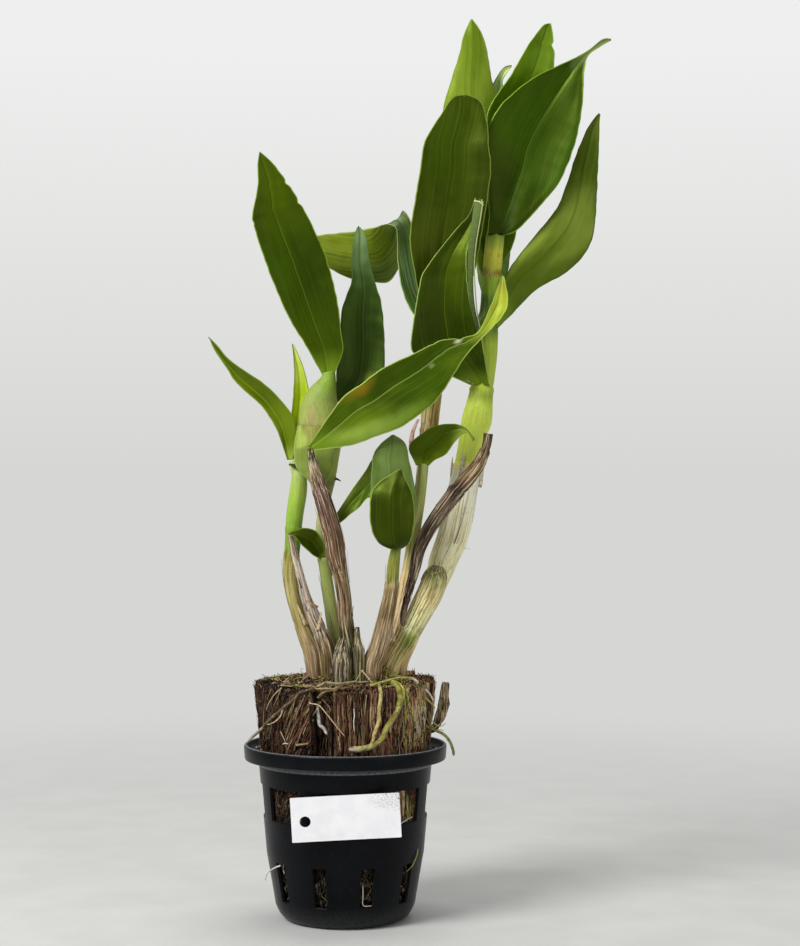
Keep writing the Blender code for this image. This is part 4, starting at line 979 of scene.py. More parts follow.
def build_cane(name):
    """One cane with its ridges, node rings, sheath ends and colour zones."""
    stations = CANES[name]
    look = CANE_LOOKS[name]
    seed = int(name[-2:]) * 5.7
    length = path_length(stations)
    count = round(length / CANE_SPACING)
    rows = smooth_path(stations, count)
    points = []
    grain = []
    paint = []
    dries = []
    for index, ((middle, tangent, side, other), row) in enumerate(zip(walk(rows), rows)):
        grow = tangent.xz.normalized()
        for corner in range(CANE_SIDES):
            turn = math.tau * corner / CANE_SIDES
            proud, colour, dry = cane_skin(look, turn, middle.z, seed)
            out = side * math.cos(turn) + other * math.sin(turn)
            if "zones" in look:
                *tone, cover = paint_zones(look, middle + out * row[3], seed, grow)
                colour = lerp(colour, tone, cover)
            offset = out * (row[3] + min(MOST_PROUD, proud) * min(1, row[3] / 2.5))
            offset.y *= min(1, SHEATH_DEPTH / row[3])
            points.append(middle + offset)
            along = length * index / count + seed * 9
            grain.append((math.cos(turn) * row[3], math.sin(turn) * row[3], along))
            paint.append((*colour, 1))
            dries.append(dry)
    faces = grid_faces(count + 1, CANE_SIDES, True)
    faces.append(tuple(reversed(range(CANE_SIDES))))
    faces.append(tuple(range(count * CANE_SIDES, (count + 1) * CANE_SIDES)))
    marks = {"grain": grain, "paint": paint, "dry": dries}
    material = cane_material(name, look)
    item = make_piece(f"{name}_stem", points, faces, [material], marks, nodes=[name])
    turn_out(item)


def build_canes():
    for name in CANES:
        build_cane(name)


# Husk chips, crown and fill

HUSK_DARK = (40, 25, 21)
HUSK_RED = (98, 58, 44)
HUSK_TAN = (160, 130, 96)
HUSK_MOSS = (128, 122, 74)

HUSK_RING = 46
CHIP_SEED = 3.7
CHIP_COLUMN = 0.6
CHIP_ROW = 1.05
CHIP_LEVELS = [HUSK_BASE, 50, 54, 58, 62, 66, 70, 74, 78, 82, 85, 87]
CHIP_TOP_SHARES = (0.12, 0.35, 0.6, 0.85, 1.0)

# Share of tan, share of moss, slant of the fibres and brightness of each chip; the set-back chips 3 and 7
# are darkened as painted shade in their recesses
CHIP_LOOKS = [(0.2, 0.05, -0.4, 0.6), (0.6, 0.1, -0.55, 1.05), (0.1, 0, 0, 0.5), (0.5, 0.05, 0, 1.05),
              (0.6, 0.05, 0.05, 1.45), (0.9, 0.55, 0.15, 1.95), (0.1, 0, 0, 0.8), (0.5, 0.25, 0, 1.7),
              (0.4, 0.1, 0.1, 1.0), (0.35, 0.1, -0.1, 1.0), (0.35, 0.05, 0, 0.9)]


def husk_outer(height):
    return blend(HUSK_OUTER, height)


def fibre_material(name, scale=1.0):
    """Fibrous husk: painted tones, near-black gaps between the fibres and round the crumbs that are painted
    shade, and pale hairs that run upwards.
    """
    graph = Graph(name, roughness=0.9, specular=0.15)
    grain = graph.mark("grain", "Vector")
    paint = graph.mark("paint", "Color")
    fibres = graph.noise(graph.stretch(grain, (1.5 * scale, 1, 0.1 * scale)), 1.0, 4, 0.7)
    hairs = graph.noise(graph.stretch(grain, (3.4 * scale, 1, 0.16 * scale)), 1.0, 3, 0.6, 0.4)
    crumbs = graph.noise(grain, 1.1 * scale, 4, 0.7)
    # near black: painted shade in the gaps between fibres and crumbs
    dark = graph.tint(paint, (0.03, 0.02, 0.02))
    pale = graph.mix(0.6, paint, srgb(206, 180, 142))
    colour = graph.coat(paint, dark, fibres, 0.54, 0.43, 0.97)
    colour = graph.coat(colour, pale, fibres, 0.54, 0.68, 0.6)
    colour = graph.coat(colour, pale, hairs, 0.58, 0.7, 0.7)
    colour = graph.coat(colour, dark, crumbs, 0.46, 0.34, 0.85)
    height = graph.math("ADD", fibres, graph.math("MULTIPLY", hairs, 0.5))
    height = graph.math("ADD", height, graph.math("MULTIPLY", crumbs, 0.5))
    return graph.finish(colour, height, 0.9, 0.8)


def husk_tone(arc, height, number):
    """The painted colour of a chip at a place on its face."""
    tan, moss, _, shade = CHIP_LOOKS[number - 1]
    seed = number * CHIP_SEED
    wide = rough(arc * 0.16 + seed, height * 0.03, seed)
    fine = rough(arc * 0.7 + seed, height * 0.05, seed * 2)
    colour = lerp(srgb(*HUSK_DARK), srgb(*HUSK_RED), step(wide + 0.5 * fine, -0.45, 0.35))
    colour = lerp(colour, srgb(*HUSK_TAN), tan * step(fine + 0.5 * wide, 0.0, 0.5))
    patch = rough(arc * 0.3, height * 0.12, seed + 4)
    colour = lerp(colour, srgb(*HUSK_MOSS), moss * step(patch, -0.2, 0.4))
    # brightness scales the whole chip; on the set-back chips it is painted shade in the recess
    return [min(0.75, value * shade**2) for value in colour]


def chip_face(number, arc, height, rim=1.0):
    """Radius of a chip's torn face at a place on it, and how deep a crack is there."""
    slant = CHIP_LOOKS[number - 1][2]
    set_back = HUSK_CHIPS[number - 1][3]
    seed = number * CHIP_SEED
    lean = arc + slant * (height - 90)
    fibre = rough(lean * 1.25 + seed, height * 0.06, seed)
    coarse = rough(lean * 0.22 + seed, height * 0.045, 3.3)
    crack = step(abs(rough(lean * 0.3 + seed, height * 0.02, 8.1)), 0.1, 0.0)
    split = step(abs(rough(lean * 0.8 + seed, height * 0.035, 2.7)), 0.1, 0.0)
    depth = 0.6 + 0.8 * fibre + 0.9 * coarse + 2.8 * crack + 0.9 * split + 0.8 * (1 - rim)
    return husk_outer(height) - set_back * blend(SET_BACK_SHARE, height) - max(-0.2, depth), lean


def chip_peak(number, arc):
    """Height of a chip's ragged top edge."""
    seed = number * CHIP_SEED
    return HUSK_CHIPS[number - 1][2] + 2.4 * rough(arc * 0.4, seed) + 1.7 * rough(arc * 1.5, seed)


def build_chip(number, start, end, top, material):
    """One chip with a fibrous face, a ragged top edge and cracked sides."""
    seed = number * CHIP_SEED
    columns = max(6, round(math.radians(end - start) * HUSK_RING / CHIP_COLUMN))
    levels = CHIP_LEVELS + [88 + CHIP_ROW * index for index in range(int((top - 88) / CHIP_ROW) + 1)]
    points = []
    grain = []
    paint = []
    ring = 0
    for column in range(columns + 1):
        angle = start + (end - start) * column / columns
        arc = math.radians(angle) * HUSK_RING
        rim = min(1, min(column, columns - column) / 2)
        peak = chip_peak(number, arc)
        profile = []
        for level in levels:
            height = HUSK_BASE + (level - HUSK_BASE) * (peak - HUSK_BASE) / (levels[-1] - HUSK_BASE)
            radius, lean = chip_face(number, arc, height, rim)
            profile.append((radius, height, lean))
        face_radius = profile[-1][0]
        for share in CHIP_TOP_SHARES:
            radius = lerp(face_radius, HUSK_INNER, share)
            height = peak + 0.4 + 1.3 * rough(arc * 0.5, radius * 0.5, seed) - 0.5 * share
            profile.append((radius, height, arc + radius))
        profile.append((HUSK_INNER, top - 12, arc))
        profile.append((HUSK_INNER, HUSK_BASE, arc))
        ring = len(profile)
        for radius, height, lean in profile:
            points.append(around(radius, angle, height))
            grain.append((lean, radius * 0.6, height))
            paint.append((*husk_tone(lean, height, number), 1))
    faces = grid_faces(columns + 1, ring, True)
    faces.append(tuple(range(ring)))
    faces.append(tuple(reversed(range(columns * ring, (columns + 1) * ring))))
    node = f"husk_chip_{number:02d}"
    marks = {"grain": grain, "paint": paint}
    item = make_piece(f"{node}_fibre", points, faces, [material], marks, nodes=[node])
    turn_out(item)


def build_husk():
    material = fibre_material("husk_fibre")
    for number, (start, end, top, _) in enumerate(HUSK_CHIPS, 1):
        build_chip(number, start, end, top, material)


def fine_mesh(points, faces, voxel):
    """The points and faces of a closed shape filled out to small even faces."""
    mesh = bpy.data.meshes.new("rough_shape")
    mesh.from_pydata([tuple(value * MM for value in point) for point in points], [], faces)
    item = bpy.data.objects.new("rough_shape", mesh)
    bpy.context.collection.objects.link(item)
    modifier = item.modifiers.new("even", "REMESH")
    modifier.mode = "VOXEL"
    modifier.voxel_size = voxel * MM
    graph = bpy.context.evaluated_depsgraph_get()
    fine = item.evaluated_get(graph).to_mesh()
    result = [vertex.co / MM for vertex in fine.vertices], [tuple(face.vertices) for face in fine.polygons]
    item.evaluated_get(graph).to_mesh_clear()
    bpy.data.objects.remove(item)
    bpy.data.meshes.remove(mesh)
    return result


def build_splinter():
    """The loose splinter: torn husk, pale on its face and dark at its broken ends."""
    raw = [(x, y, z) for y in SPLINTER_SPAN for x, z in SPLINTER]
    count = len(SPLINTER)
    shell = [tuple(range(count)), tuple(reversed(range(count, 2 * count)))]
    shell += [((i + 1) % count, i, i + count, (i + 1) % count + count) for i in range(count)]
    points, faces = fine_mesh(raw, shell, SPLINTER_VOXEL)
    moved = []
    paint = []
    for point in points:
        fibre = rough(point.x * 1.1, point.y * 1.1, point.z * 0.12)
        rise = 0.5 * rough(point.x, point.y, point.z * 0.4)
        moved.append(point + Vector((0.45 * fibre, 0.3 * fibre, rise)))
        tone = lerp(srgb(146, 118, 90), srgb(226, 204, 160), step(fibre, -0.4, 0.4))
        paint.append((*lerp(tone, srgb(64, 50, 40), step(point.z, 108, 100)), 1))
    marks = {"grain": [tuple(point) for point in points], "paint": paint}
    make_piece("husk_splinter_fibre", moved, faces, [fibre_material("splinter_fibre")], marks,
               nodes=["husk_splinter"])


CROWN_RINGS = 44
CROWN_SIDES = 150
CROWN_DARK = (46, 38, 26)
CROWN_TAN = (128, 106, 70)
CROWN_MOSS = (112, 116, 44)


def crown_height(x, y):
    """Top of the crown at a place, with its lumps."""
    lumps = 1.5 * rough(x * 0.16, y * 0.16, 2)
    return blend(CROWN_TOP, math.hypot(x, y)) + lumps + 0.9 * rough(x * 0.55, y * 0.55, 5)


def build_crown():
    """The top of the root mass, lumpy and mossy, and its plain sides inside the ring."""
    turns = [360 * side / CROWN_SIDES for side in range(CROWN_SIDES)]
    points = []
    grain = []
    paint = []
    for ring in range(CROWN_RINGS + 1):
        radius = max(0.4, CROWN_RADIUS * ring / CROWN_RINGS)
        for turn in turns:
            flat = around(radius, turn, 0)
            points.append(Vector((flat.x, flat.y, crown_height(flat.x, flat.y))))
    for height in (118, 90, HUSK_BASE):
        points += [around(CROWN_RADIUS, turn, height) for turn in turns]
    for point in points:
        patch = rough(point.x * 0.12, point.y * 0.12, 9)
        fine = rough(point.x * 0.7, point.y * 0.7, 4)
        tone = lerp(srgb(*CROWN_DARK), srgb(*CROWN_TAN), step(patch + fine, -0.3, 0.6))
        mossy = step(rough(point.x * 0.15, point.y * 0.15, 21) + 0.4 * fine + point.x / 60, 0.05, 0.5)
        paint.append((*lerp(tone, srgb(*CROWN_MOSS), 0.8 * mossy), 1))
        grain.append((point.x, point.z, point.y))
    faces = grid_faces(CROWN_RINGS + 4, CROWN_SIDES, True)
    faces.append(tuple(range(CROWN_SIDES)))
    faces.append(tuple(reversed(range((CROWN_RINGS + 3) * CROWN_SIDES, (CROWN_RINGS + 4) * CROWN_SIDES))))
    marks = {"grain": grain, "paint": paint}
    item = make_piece("root_crown_top", points, faces, [fibre_material("crown_mat", 1.3)], marks,
                      nodes=["root_crown"])
    turn_out(item)


FILL_SIDES = 200
FILL_CLEAR = 0.55
FILL_ROW = 1.25
FILL_ROWS = 35


def build_fill():
    """Charcoal and bark lumps behind the slots of the pot."""
    sides = FILL_SIDES
    heights = [POT_FLOOR + GAP] + [POT_FLOOR + 1 + FILL_ROW * index for index in range(FILL_ROWS)]
    points = [Vector((0, 0, POT_FLOOR + GAP))]
    for height in heights:
        for side in range(sides):
            turn = 360 * side / sides
            radius = blend(POT_OUTER, height) - POT_WALL - FILL_CLEAR
            if height == heights[0]:
                radius -= 3
            flat = around(radius, turn, height)
            lumps = noise.voronoi(Vector((flat.x, flat.y, flat.z * 0.9)) * 0.17)[0]
            gap = step(lumps[1] - lumps[0], 0.32, 0.0)
            dent = 4.2 * gap + 1.2 * abs(rough(flat.x * 0.3, flat.y * 0.3, flat.z * 0.3))
            points.append(around(radius - dent, turn, height))
    points.append(Vector((0, 0, heights[-1])))
    faces = [(0, 1 + (side + 1) % sides, 1 + side) for side in range(sides)]
    faces += grid_faces(len(heights), sides, True, 1)
    last = 1 + (len(heights) - 1) * sides
    faces += [(last + side, last + (side + 1) % sides, len(points) - 1) for side in range(sides)]
    paint = []
    for point in points:
        lump = noise.cell(Vector(point) * 0.17)
        patch = rough(point.x * 0.25, point.y * 0.25, point.z * 0.25)
        tone = lerp(srgb(18, 17, 18), srgb(54, 42, 32), step(patch + 0.3 * lump, 0.05, 0.5))
        paint.append((*lerp(tone, srgb(150, 148, 138), step(patch, 0.42, 0.6)), 1))
    marks = {"grain": [tuple(point) for point in points], "paint": paint}
    item = make_piece("potting_fill_lumps", points, faces, [fibre_material("fill_lumps", 0.7)], marks,
                      nodes=["potting_fill"])
    turn_out(item)


# Roots

ROOT_TONES = {
    "root_01": [(0, (104, 104, 44)), (0.12, (138, 138, 58)), (0.35, (152, 150, 64)), (0.5, (136, 128, 58)),
                (0.62, (160, 158, 76)), (0.75, (150, 142, 76)), (0.93, (182, 176, 120)),
                (1, (186, 166, 176))],
    "root_02": [(0, (140, 126, 76)), (0.3, (188, 168, 106)), (1, (206, 184, 120))],
    "root_03": [(0, (196, 188, 176)), (0.4, (244, 242, 236)), (1, (236, 232, 226))],
    "root_04": [(0, (98, 80, 58)), (0.5, (90, 74, 58)), (0.8, (106, 92, 72)), (1, (196, 186, 158))],
    "root_05": [(0, (128, 126, 74)), (0.5, (150, 150, 88)), (1, (116, 120, 64))],
}


def root_stations(root):
    """The root's middle line: points given without Y lie half sunk in the husk's face."""
    stations = []
    for point in root["path"]:
        if len(point) == 2:
            x, z = point
            radius = husk_outer(z) - root["set_back"] + 0.2
            point = (x, -math.sqrt(radius**2 - x**2), z)
        stations.append((*point, root["radius"]))
    return stations


def root_material():
    """Spongy root skin: painted tone, chalky patches and fine rings."""
    graph = Graph("root_skin", roughness=0.7, specular=0.25)
    grain = graph.mark("grain", "Vector")
    paint = graph.mark("paint", "Color")
    patches = graph.noise(grain, 0.5, 4)
    fine = graph.noise(graph.stretch(grain, (1, 1, 2.2)), 1.6, 3)
    colour = graph.coat(paint, srgb(84, 72, 36), patches, 0.54, 0.38, 0.62)
    colour = graph.coat(colour, srgb(226, 222, 190), patches, 0.56, 0.7, 0.45)
    colour = graph.coat(colour, srgb(92, 82, 52), fine, 0.6, 0.75, 0.4)
    return graph.finish(colour, graph.math("ADD", patches, fine), 0.6, 0.3)


ROOT_SIDES = 14
ROOT_SPACING = 0.7


def build_roots(material):
    """The five thick roots, slightly lumpy, with tapered tips."""
    sides = ROOT_SIDES
    for name, root in ROOTS.items():
        stations = root_stations(root)
        length = path_length(stations)
        count = round(length / ROOT_SPACING)
        rows = smooth_path(stations, count)
        points = []
        paint = []
        grain = []
        seed = int(name[-2:]) * 11
        for index, (middle, _, side, other) in enumerate(walk(rows)):
            share = index / count
            taper = math.sqrt(min(1, (1 - share) * length / (1.6 * root["radius"]) + 0.12))
            swell = 1 + 0.16 * rough(index * 0.09, seed) + 0.05 * rough(index * 0.5, seed)
            for corner in range(sides):
                turn = math.tau * corner / sides
                knob = 1 + 0.07 * rough(math.cos(turn) * 1.4, math.sin(turn) * 1.4, index * 0.15 + seed)
                reach = root["radius"] * taper * swell * knob
                points.append(middle + (side * math.cos(turn) + other * math.sin(turn)) * reach)
                paint.append((*srgb(*blend(ROOT_TONES[name], share)), 1))
                grain.append((math.cos(turn) * 1.5, math.sin(turn) * 1.5, share * length + seed))
        faces = grid_faces(count + 1, sides, True)
        faces.append(tuple(reversed(range(sides))))
        faces.append(tuple(range(count * sides, (count + 1) * sides)))
        marks = {"grain": grain, "paint": paint}
        item = make_piece(f"{name}_skin", points, faces, [material], marks, nodes=[name])
        turn_out(item)


# Loose fibres, moss and fine roots

TAN = (158, 130, 94)
PALE = (206, 184, 146)
RUST = (118, 74, 56)
UMBER = (52, 37, 30)
MOSS = (132, 138, 44)
STRAW = (184, 174, 104)
WHITE = (226, 220, 206)

# Fine roots on the husk: colour, radius, how far the husk stands back there, and x, z on its face or x, y, z
FINE_ROOTS = [
    (PALE, 0.34, 0,
     [(-17.6, 120.4), (-16.1, 119.9), (-12.4, 119.1), (-8.6, 115), (-3.7, 108.8), (1, 103.1)]),
    (TAN, 0.2, 0, [(-10.8, 122.5), (-6.5, 117.4), (-7.8, 115.7), (-9.4, 116)]),
    (TAN, 0.65, 5, [(-13.6, 116), (-14.5, 115), (-16.8, 112.4)]),
    (TAN, 0.5, 4, [(-15.5, 111), (-18, 108), (-18.4, 101.6)]),
    (TAN, 0.7, 0, [(-24.3, 97.6), (-21, 98.4), (-18.2, 98.9)]),
    ((160, 144, 116), 0.8, 0,
     [(-14.5, -38, 126), (-13.5, -39, 127.8), (-10.5, -39, 129.5), (-8.9, -38, 130), (-2.8, -38, 129.4),
      (3.6, -37, 130), (6, -36, 130.2), (9.2, -35, 129.8), (13, -34, 130)]),
    ((132, 112, 84), 0.7, 0,
     [(-13, -43, 122.5), (-11.2, -44, 124.7), (-8.9, -44, 126.1), (-3.8, -43, 126.8), (-0.4, -41, 129),
      (3.6, -39, 129.8)]),
    (PALE, 0.3, 0, [(9.5, -33, 136), (12, -35, 133), (15.2, -38, 129.6)]),
    (STRAW, 0.3, 0, [(9.5, -33, 136), (7.6, -33, 132.5), (6, -33, 130)]),
    (STRAW, 0.75, 0,
     [(14, -38, 128.5), (16.4, -38, 129), (22.9, -34, 130.6), (27.5, -30, 131.5), (33, -27, 131.5),
      (36.7, -25, 130.4)]),
    (WHITE, 0.75, 0,
     [(34, -25, 130.5), (36.8, -25, 130.4), (40.3, -23.5, 126.8), (44.6, -21, 122.9), (47, -19, 118.7)]),
    (STRAW, 0.7, 0,
     [(38, -25, 128), (39.9, -24, 125.7), (42.7, -22, 120.6), (46, -19, 117.1), (47.8, -16, 114.4)]),
    (TAN, 0.35, 0,
     [(41, -19, 117), (41.9, -18.5, 115.2), (44, -17, 107.8), (47.2, -16, 103.9), (50, -15, 101)]),
    (TAN, 0.28, 0, [(-32.3, 127.5), (-34, 123), (-36.7, 117.1)]),
    (PALE, 0.3, 0, [(-32.3, 127), (-35.7, 123.8), (-39, 119), (-41, 114.4)]),
    (TAN, 0.25, 0, [(-38, 125.8), (-39, 123.5), (-40.4, 120)]),
    (PALE, 0.45, 0, [(-29, 119), (-31.7, 115.7), (-33, 112), (-36, 108.9), (-39.4, 106.9), (-41.6, 106.6)]),
    ((182, 178, 78), 1.15, 0,
     [(25, -32, 129.8), (28.4, -36, 129.2), (30.9, 126.6), (31.3, 123.8), (30, 119.6), (28.6, 116.4)]),
    ((196, 178, 116), 0.85, 0, [(15.8, 103.8), (15.8, 101.6), (14.6, 99.4), (13.4, 97.8)]),
    (PALE, 0.25, 0, [(-33, 104), (-31, 100), (-29.6, 96)]),
    (WHITE, 0.3, 0, [(5.6, 117.4), (5.9, 113.8), (5.5, 110.6), (5.8, 105.7)]),
    (WHITE, 0.4, 0, [(-31.6, 97.4), (-30.2, 98.1), (-28.8, 97.8)]),
    (STRAW, 0.35, 0, [(46.6, -16, 107.5), (48.6, -17, 105.4), (51.4, -16.4, 104.6), (53.6, -15.4, 106.2)]),
    (STRAW, 0.3, 0, [(47.2, -16, 103.4), (49.6, -16.8, 105), (51.8, -16, 107.2)]),
    (STRAW, 0.3, 0, [(48, -16, 101.6), (50.4, -16.6, 102.8), (52.6, -15.8, 102.2)]),
]

# Fine roots at the pot's openings: colour, radius and x, y, z
POT_ROOTS = [
    (WHITE, 0.3, [(27, -34.6, 55), (29.9, -34, 56.1), (33.8, -30.6, 57.9), (36, -27, 58.4)]),
    (WHITE, 0.45, [(-33.5, -23, 32), (-37.4, -20.6, 30), (-41, -16, 26.4), (-42.4, -12, 22)]),
    (STRAW, 0.4, [(38.6, -17, 40), (38.4, -19.6, 37), (36, -22.4, 32), (33, -23.6, 29)]),
    (WHITE, 0.35, [(10, -36.9, 24), (10.1, -36.4, 19), (10.2, -36, 13.6), (14.6, -34.6, 13.2)]),
]


def strand_material(name, mottle=1.0):
    """Thin fibres and roots: the painted tone, with darker stretches and chalky spots."""
    graph = Graph(name, roughness=0.85, specular=0.15)
    grain = graph.mark("grain", "Vector")
    paint = graph.mark("paint", "Color")
    patches = graph.noise(graph.stretch(grain, (1, 1, 0.7)), 0.9, 3)
    dark = graph.tint(paint, (0.3, 0.26, 0.22))
    light = graph.mix(0.4, paint, srgb(232, 224, 200))
    colour = graph.coat(paint, dark, patches, 0.52, 0.36, 0.8 * mottle)
    colour = graph.coat(colour, light, patches, 0.56, 0.7, 0.6 * mottle)
    return graph.finish(colour, patches, 0.5, 0.15)


def on_face(points, radius, set_back):
    """Points of a fine root: those given without Y lie on the husk's face."""
    result = []
    for point in points:
        if len(point) == 2:
            x, z = point
            reach = husk_outer(z) - set_back + 0.6 * radius - 0.1
            point = (x, -math.sqrt(reach**2 - x**2), z)
        result.append(Vector(point))
    return result


# How many loose bits there are: fibres and tufts for each degree of husk, and the rest in all
FIBRE_SHARE = 3.4
TUFT_SHARE = 2.2
MAT_ROOTS = 420
MOSS_TUFTS = 620
TOP_CRUMBS = 420
LEDGE_CRUMBS = 150
SHEATH_RAGS = 16
SHEATH_HAIRS = 14


def add_face_fibres(bundle, picks):
    """Fibres that run up the torn faces of the chips, some of them peeling off."""
    for number, (start, end, top, _) in enumerate(HUSK_CHIPS, 1):
        tan, moss, slant, shade = CHIP_LOOKS[number - 1]
        for _ in range(round((end - start) * FIBRE_SHARE)):
            low = picks.uniform(89, top - 7)
            high = min(top - 0.5, low + picks.uniform(5, 30))
            arc = math.radians(picks.uniform(start + 0.5, end - 0.5)) * HUSK_RING
            wander = picks.gauss(0, 0.07)
            peel = picks.choice((0, 0, 0, 0.9))
            steps = max(2, round((high - low) / 2.2))
            path = []
            for index in range(steps + 1):
                height = lerp(low, high, index / steps)
                here = arc - (slant + wander) * (height - low) + 0.3 * rough(height * 0.35, arc)
                here = min(max(here, math.radians(start) * HUSK_RING), math.radians(end) * HUSK_RING)
                radius = chip_face(number, here, height)[0] + 0.08 + peel * (index / steps) ** 2
                path.append(around(radius, math.degrees(here / HUSK_RING), height))
            pale = PALE if picks.random() < tan else UMBER
            green = MOSS if picks.random() < moss else RUST
            tone = picks.choice((RUST, RUST, UMBER, UMBER, TAN, TAN, pale, green))
            thick = picks.uniform(0.1, 0.26)
            # fibres take half the chip's brightness, so those on the set-back chips carry its painted shade
            # too
            tone = [min(220, value * (0.5 + 0.5 * shade)) for value in tone]
            bundle.strand(path, thick, thick * 0.5, srgb(*tone), spacing=2.2)


def add_rim_tufts(bundle, picks):
    """Short torn fibres along the top edges of the chips."""
    for number, (start, end, _, _) in enumerate(HUSK_CHIPS, 1):
        for _ in range(round((end - start) * TUFT_SHARE)):
            angle = picks.uniform(start, end)
            arc = math.radians(angle) * HUSK_RING
            peak = chip_peak(number, arc)
            face = chip_face(number, arc, peak)[0]
            radius = lerp(face, HUSK_INNER, picks.random() ** 2)
            foot = around(radius, angle, peak - 0.6)
            lean = Vector((picks.gauss(0, 0.5), picks.gauss(0, 0.5), 1)).normalized()
            size = picks.uniform(0.8, 3.4)
            bend = Vector((picks.gauss(0, 0.3), picks.gauss(0, 0.3), 0)) * size
            tone = picks.choice((UMBER, UMBER, RUST, TAN, (30, 24, 20)))
            path = [foot, foot + lean * size * 0.6, foot + lean * size + bend]
            bundle.strand(path, picks.uniform(0.16, 0.42), 0.08, srgb(*tone), spacing=0.9)


def mat_height(x, y):
    """Height of the tangle on the crown and the chips, highest round the feet of the right canes."""
    radius = math.hypot(x, y)
    base = crown_height(x, y) if radius < CROWN_RADIUS else 127.2
    mound = 2.6 * math.exp(-(((x - 14) / 20) ** 2 + ((y + 16) / 16) ** 2))
    mound += 5.5 * math.exp(-(((x - 20) / 9) ** 2 + ((y + 21) / 8) ** 2))
    return base + mound


def add_mat(bundle, picks):
    """Tangled fine roots over the crown, moss round the canes' feet and crumbs of bark."""
    for _ in range(MAT_ROOTS):
        x, y = picks.uniform(-40, 42), picks.uniform(-42, 40)
        if math.hypot(x, y) > 44:
            continue
        heading = picks.uniform(0, math.tau)
        path = []
        for _ in range(picks.randint(4, 9)):
            if math.hypot(x, y) < 46:
                path.append(Vector((x, y, mat_height(x, y) + picks.uniform(-0.2, 0.9))))
            heading += picks.gauss(0, 0.6)
            x += 2.2 * math.cos(heading)
            y += 2.2 * math.sin(heading)
        if len(path) < 3:
            continue
        tone = picks.choice((TAN, TAN, STRAW, PALE, MOSS, UMBER, UMBER, RUST))
        thick = picks.uniform(0.14, 0.5)
        bundle.strand(path, thick, thick * 0.5, srgb(*tone), spacing=1.6)
    for _ in range(MOSS_TUFTS):
        x, y = picks.gauss(13, 13), picks.gauss(-17, 11)
        if math.hypot(x, y) > 45:
            continue
        foot = Vector((x, y, mat_height(x, y) - 0.4))
        size = picks.uniform(1.2, 5.2)
        lean = Vector((picks.gauss(0, 0.6), picks.gauss(0, 0.6), 1)).normalized() * size
        curl = Vector((picks.gauss(0, 0.5), picks.gauss(0, 0.5), -0.2)) * size
        tone = picks.choice((MOSS, MOSS, STRAW, TAN, (96, 98, 34), UMBER))
        path = [foot, foot + lean * 0.6, foot + lean + curl * 0.5, foot + lean * 0.9 + curl]
        bundle.strand(path, 0.24, 0.1, srgb(*tone), spacing=1.1)


def add_crumbs(bundle, picks):
    """Crumbs of bark on the tangle and along the pot's ledge, a few of them white."""
    for _ in range(TOP_CRUMBS):
        angle, radius = picks.uniform(0, 360), 44 * math.sqrt(picks.random())
        spot = around(radius, angle, 0)
        spot.z = mat_height(spot.x, spot.y) + 0.2
        tone = picks.choice((UMBER, (36, 28, 24), RUST, (96, 98, 34), TAN))
        bundle.lump(spot, picks.uniform(0.3, 1.1), srgb(*tone))
    for _ in range(LEDGE_CRUMBS):
        angle = picks.uniform(0, 360)
        spot = around(picks.uniform(46.6, 50.6), angle, 0)
        spot.z = blend([(46, 88.2), (50, 89.3), (51.4, 90.2)], spot.xy.length)
        tone = picks.choice((UMBER, UMBER, (36, 28, 24), TAN, WHITE))
        bundle.lump(spot, picks.uniform(0.25, 0.75), srgb(*tone))


def add_fine_roots(bundle):
    """The fine roots that show one by one on the husk."""
    for tone, radius, set_back, points in FINE_ROOTS:
        path = on_face(points, radius, set_back)
        bundle.strand(path, radius, radius * 0.6, srgb(*tone), sides=8, spacing=0.8)


def add_slot_roots(bundle, picks):
    """Root ends and pale bits that show in the pot's low slots, and the few that stick out."""
    for index in range(SLOT_COUNT):
        middle = 360 * (index + 0.5) / SLOT_COUNT
        for _ in range(7 if 30 < middle < 180 else 3):
            low = picks.uniform(SLOT_MIDDLE - 12, SLOT_MIDDLE + 6)
            angle = middle + picks.uniform(-6, 6)
            path = []
            for rise in (0, 3, 6, 9):
                height = low + rise
                reach = blend(POT_OUTER, height) - POT_WALL - 0.7 + picks.uniform(-0.4, 0.4)
                path.append(around(reach, angle + picks.uniform(-3, 3), height))
            tone = picks.choice((WHITE, (168, 164, 150), (96, 84, 64), UMBER, UMBER, (84, 84, 50)))
            bundle.strand(path, picks.uniform(0.2, 0.5), 0.15, srgb(*tone), sides=5, spacing=1.2)
    for tone, radius, points in POT_ROOTS:
        path = [Vector(point) for point in points]
        bundle.strand(path, radius, radius * 0.5, srgb(*tone), sides=8, spacing=0.8)


# Fibres along the canes' dry skin: number, lowest and highest place as shares of the length, and colours
CANE_FIBRES = {
    "cane_01": (20, 0, 0.42, (TAN, STRAW, UMBER)),
    "cane_02": (22, 0, 0.9, (PALE, TAN, UMBER)),
    "cane_03": (44, 0, 0.85, (TAN, RUST, UMBER, PALE)),
    "cane_04": (12, 0, 0.3, (TAN, STRAW, UMBER)),
    "cane_05": (58, 0, 0.95, (UMBER, (32, 26, 22), PALE, (226, 212, 180))),
    "cane_06": (12, 0, 0.9, (UMBER, TAN, STRAW)),
    "cane_07": (26, 0, 0.6, (TAN, RUST, UMBER, PALE)),
    "cane_08": (16, 0, 0.5, (TAN, PALE, UMBER)),
    "cane_09": (16, 0, 0.8, (TAN, PALE, RUST)),
    "cane_10": (52, 0, 0.5, (PALE, WHITE, TAN, UMBER)),
    "cane_11": (34, 0, 1.0, (UMBER, UMBER, TAN, (36, 26, 22))),
    "cane_12": (34, 0, 0.95, (PALE, STRAW, UMBER, TAN)),
}

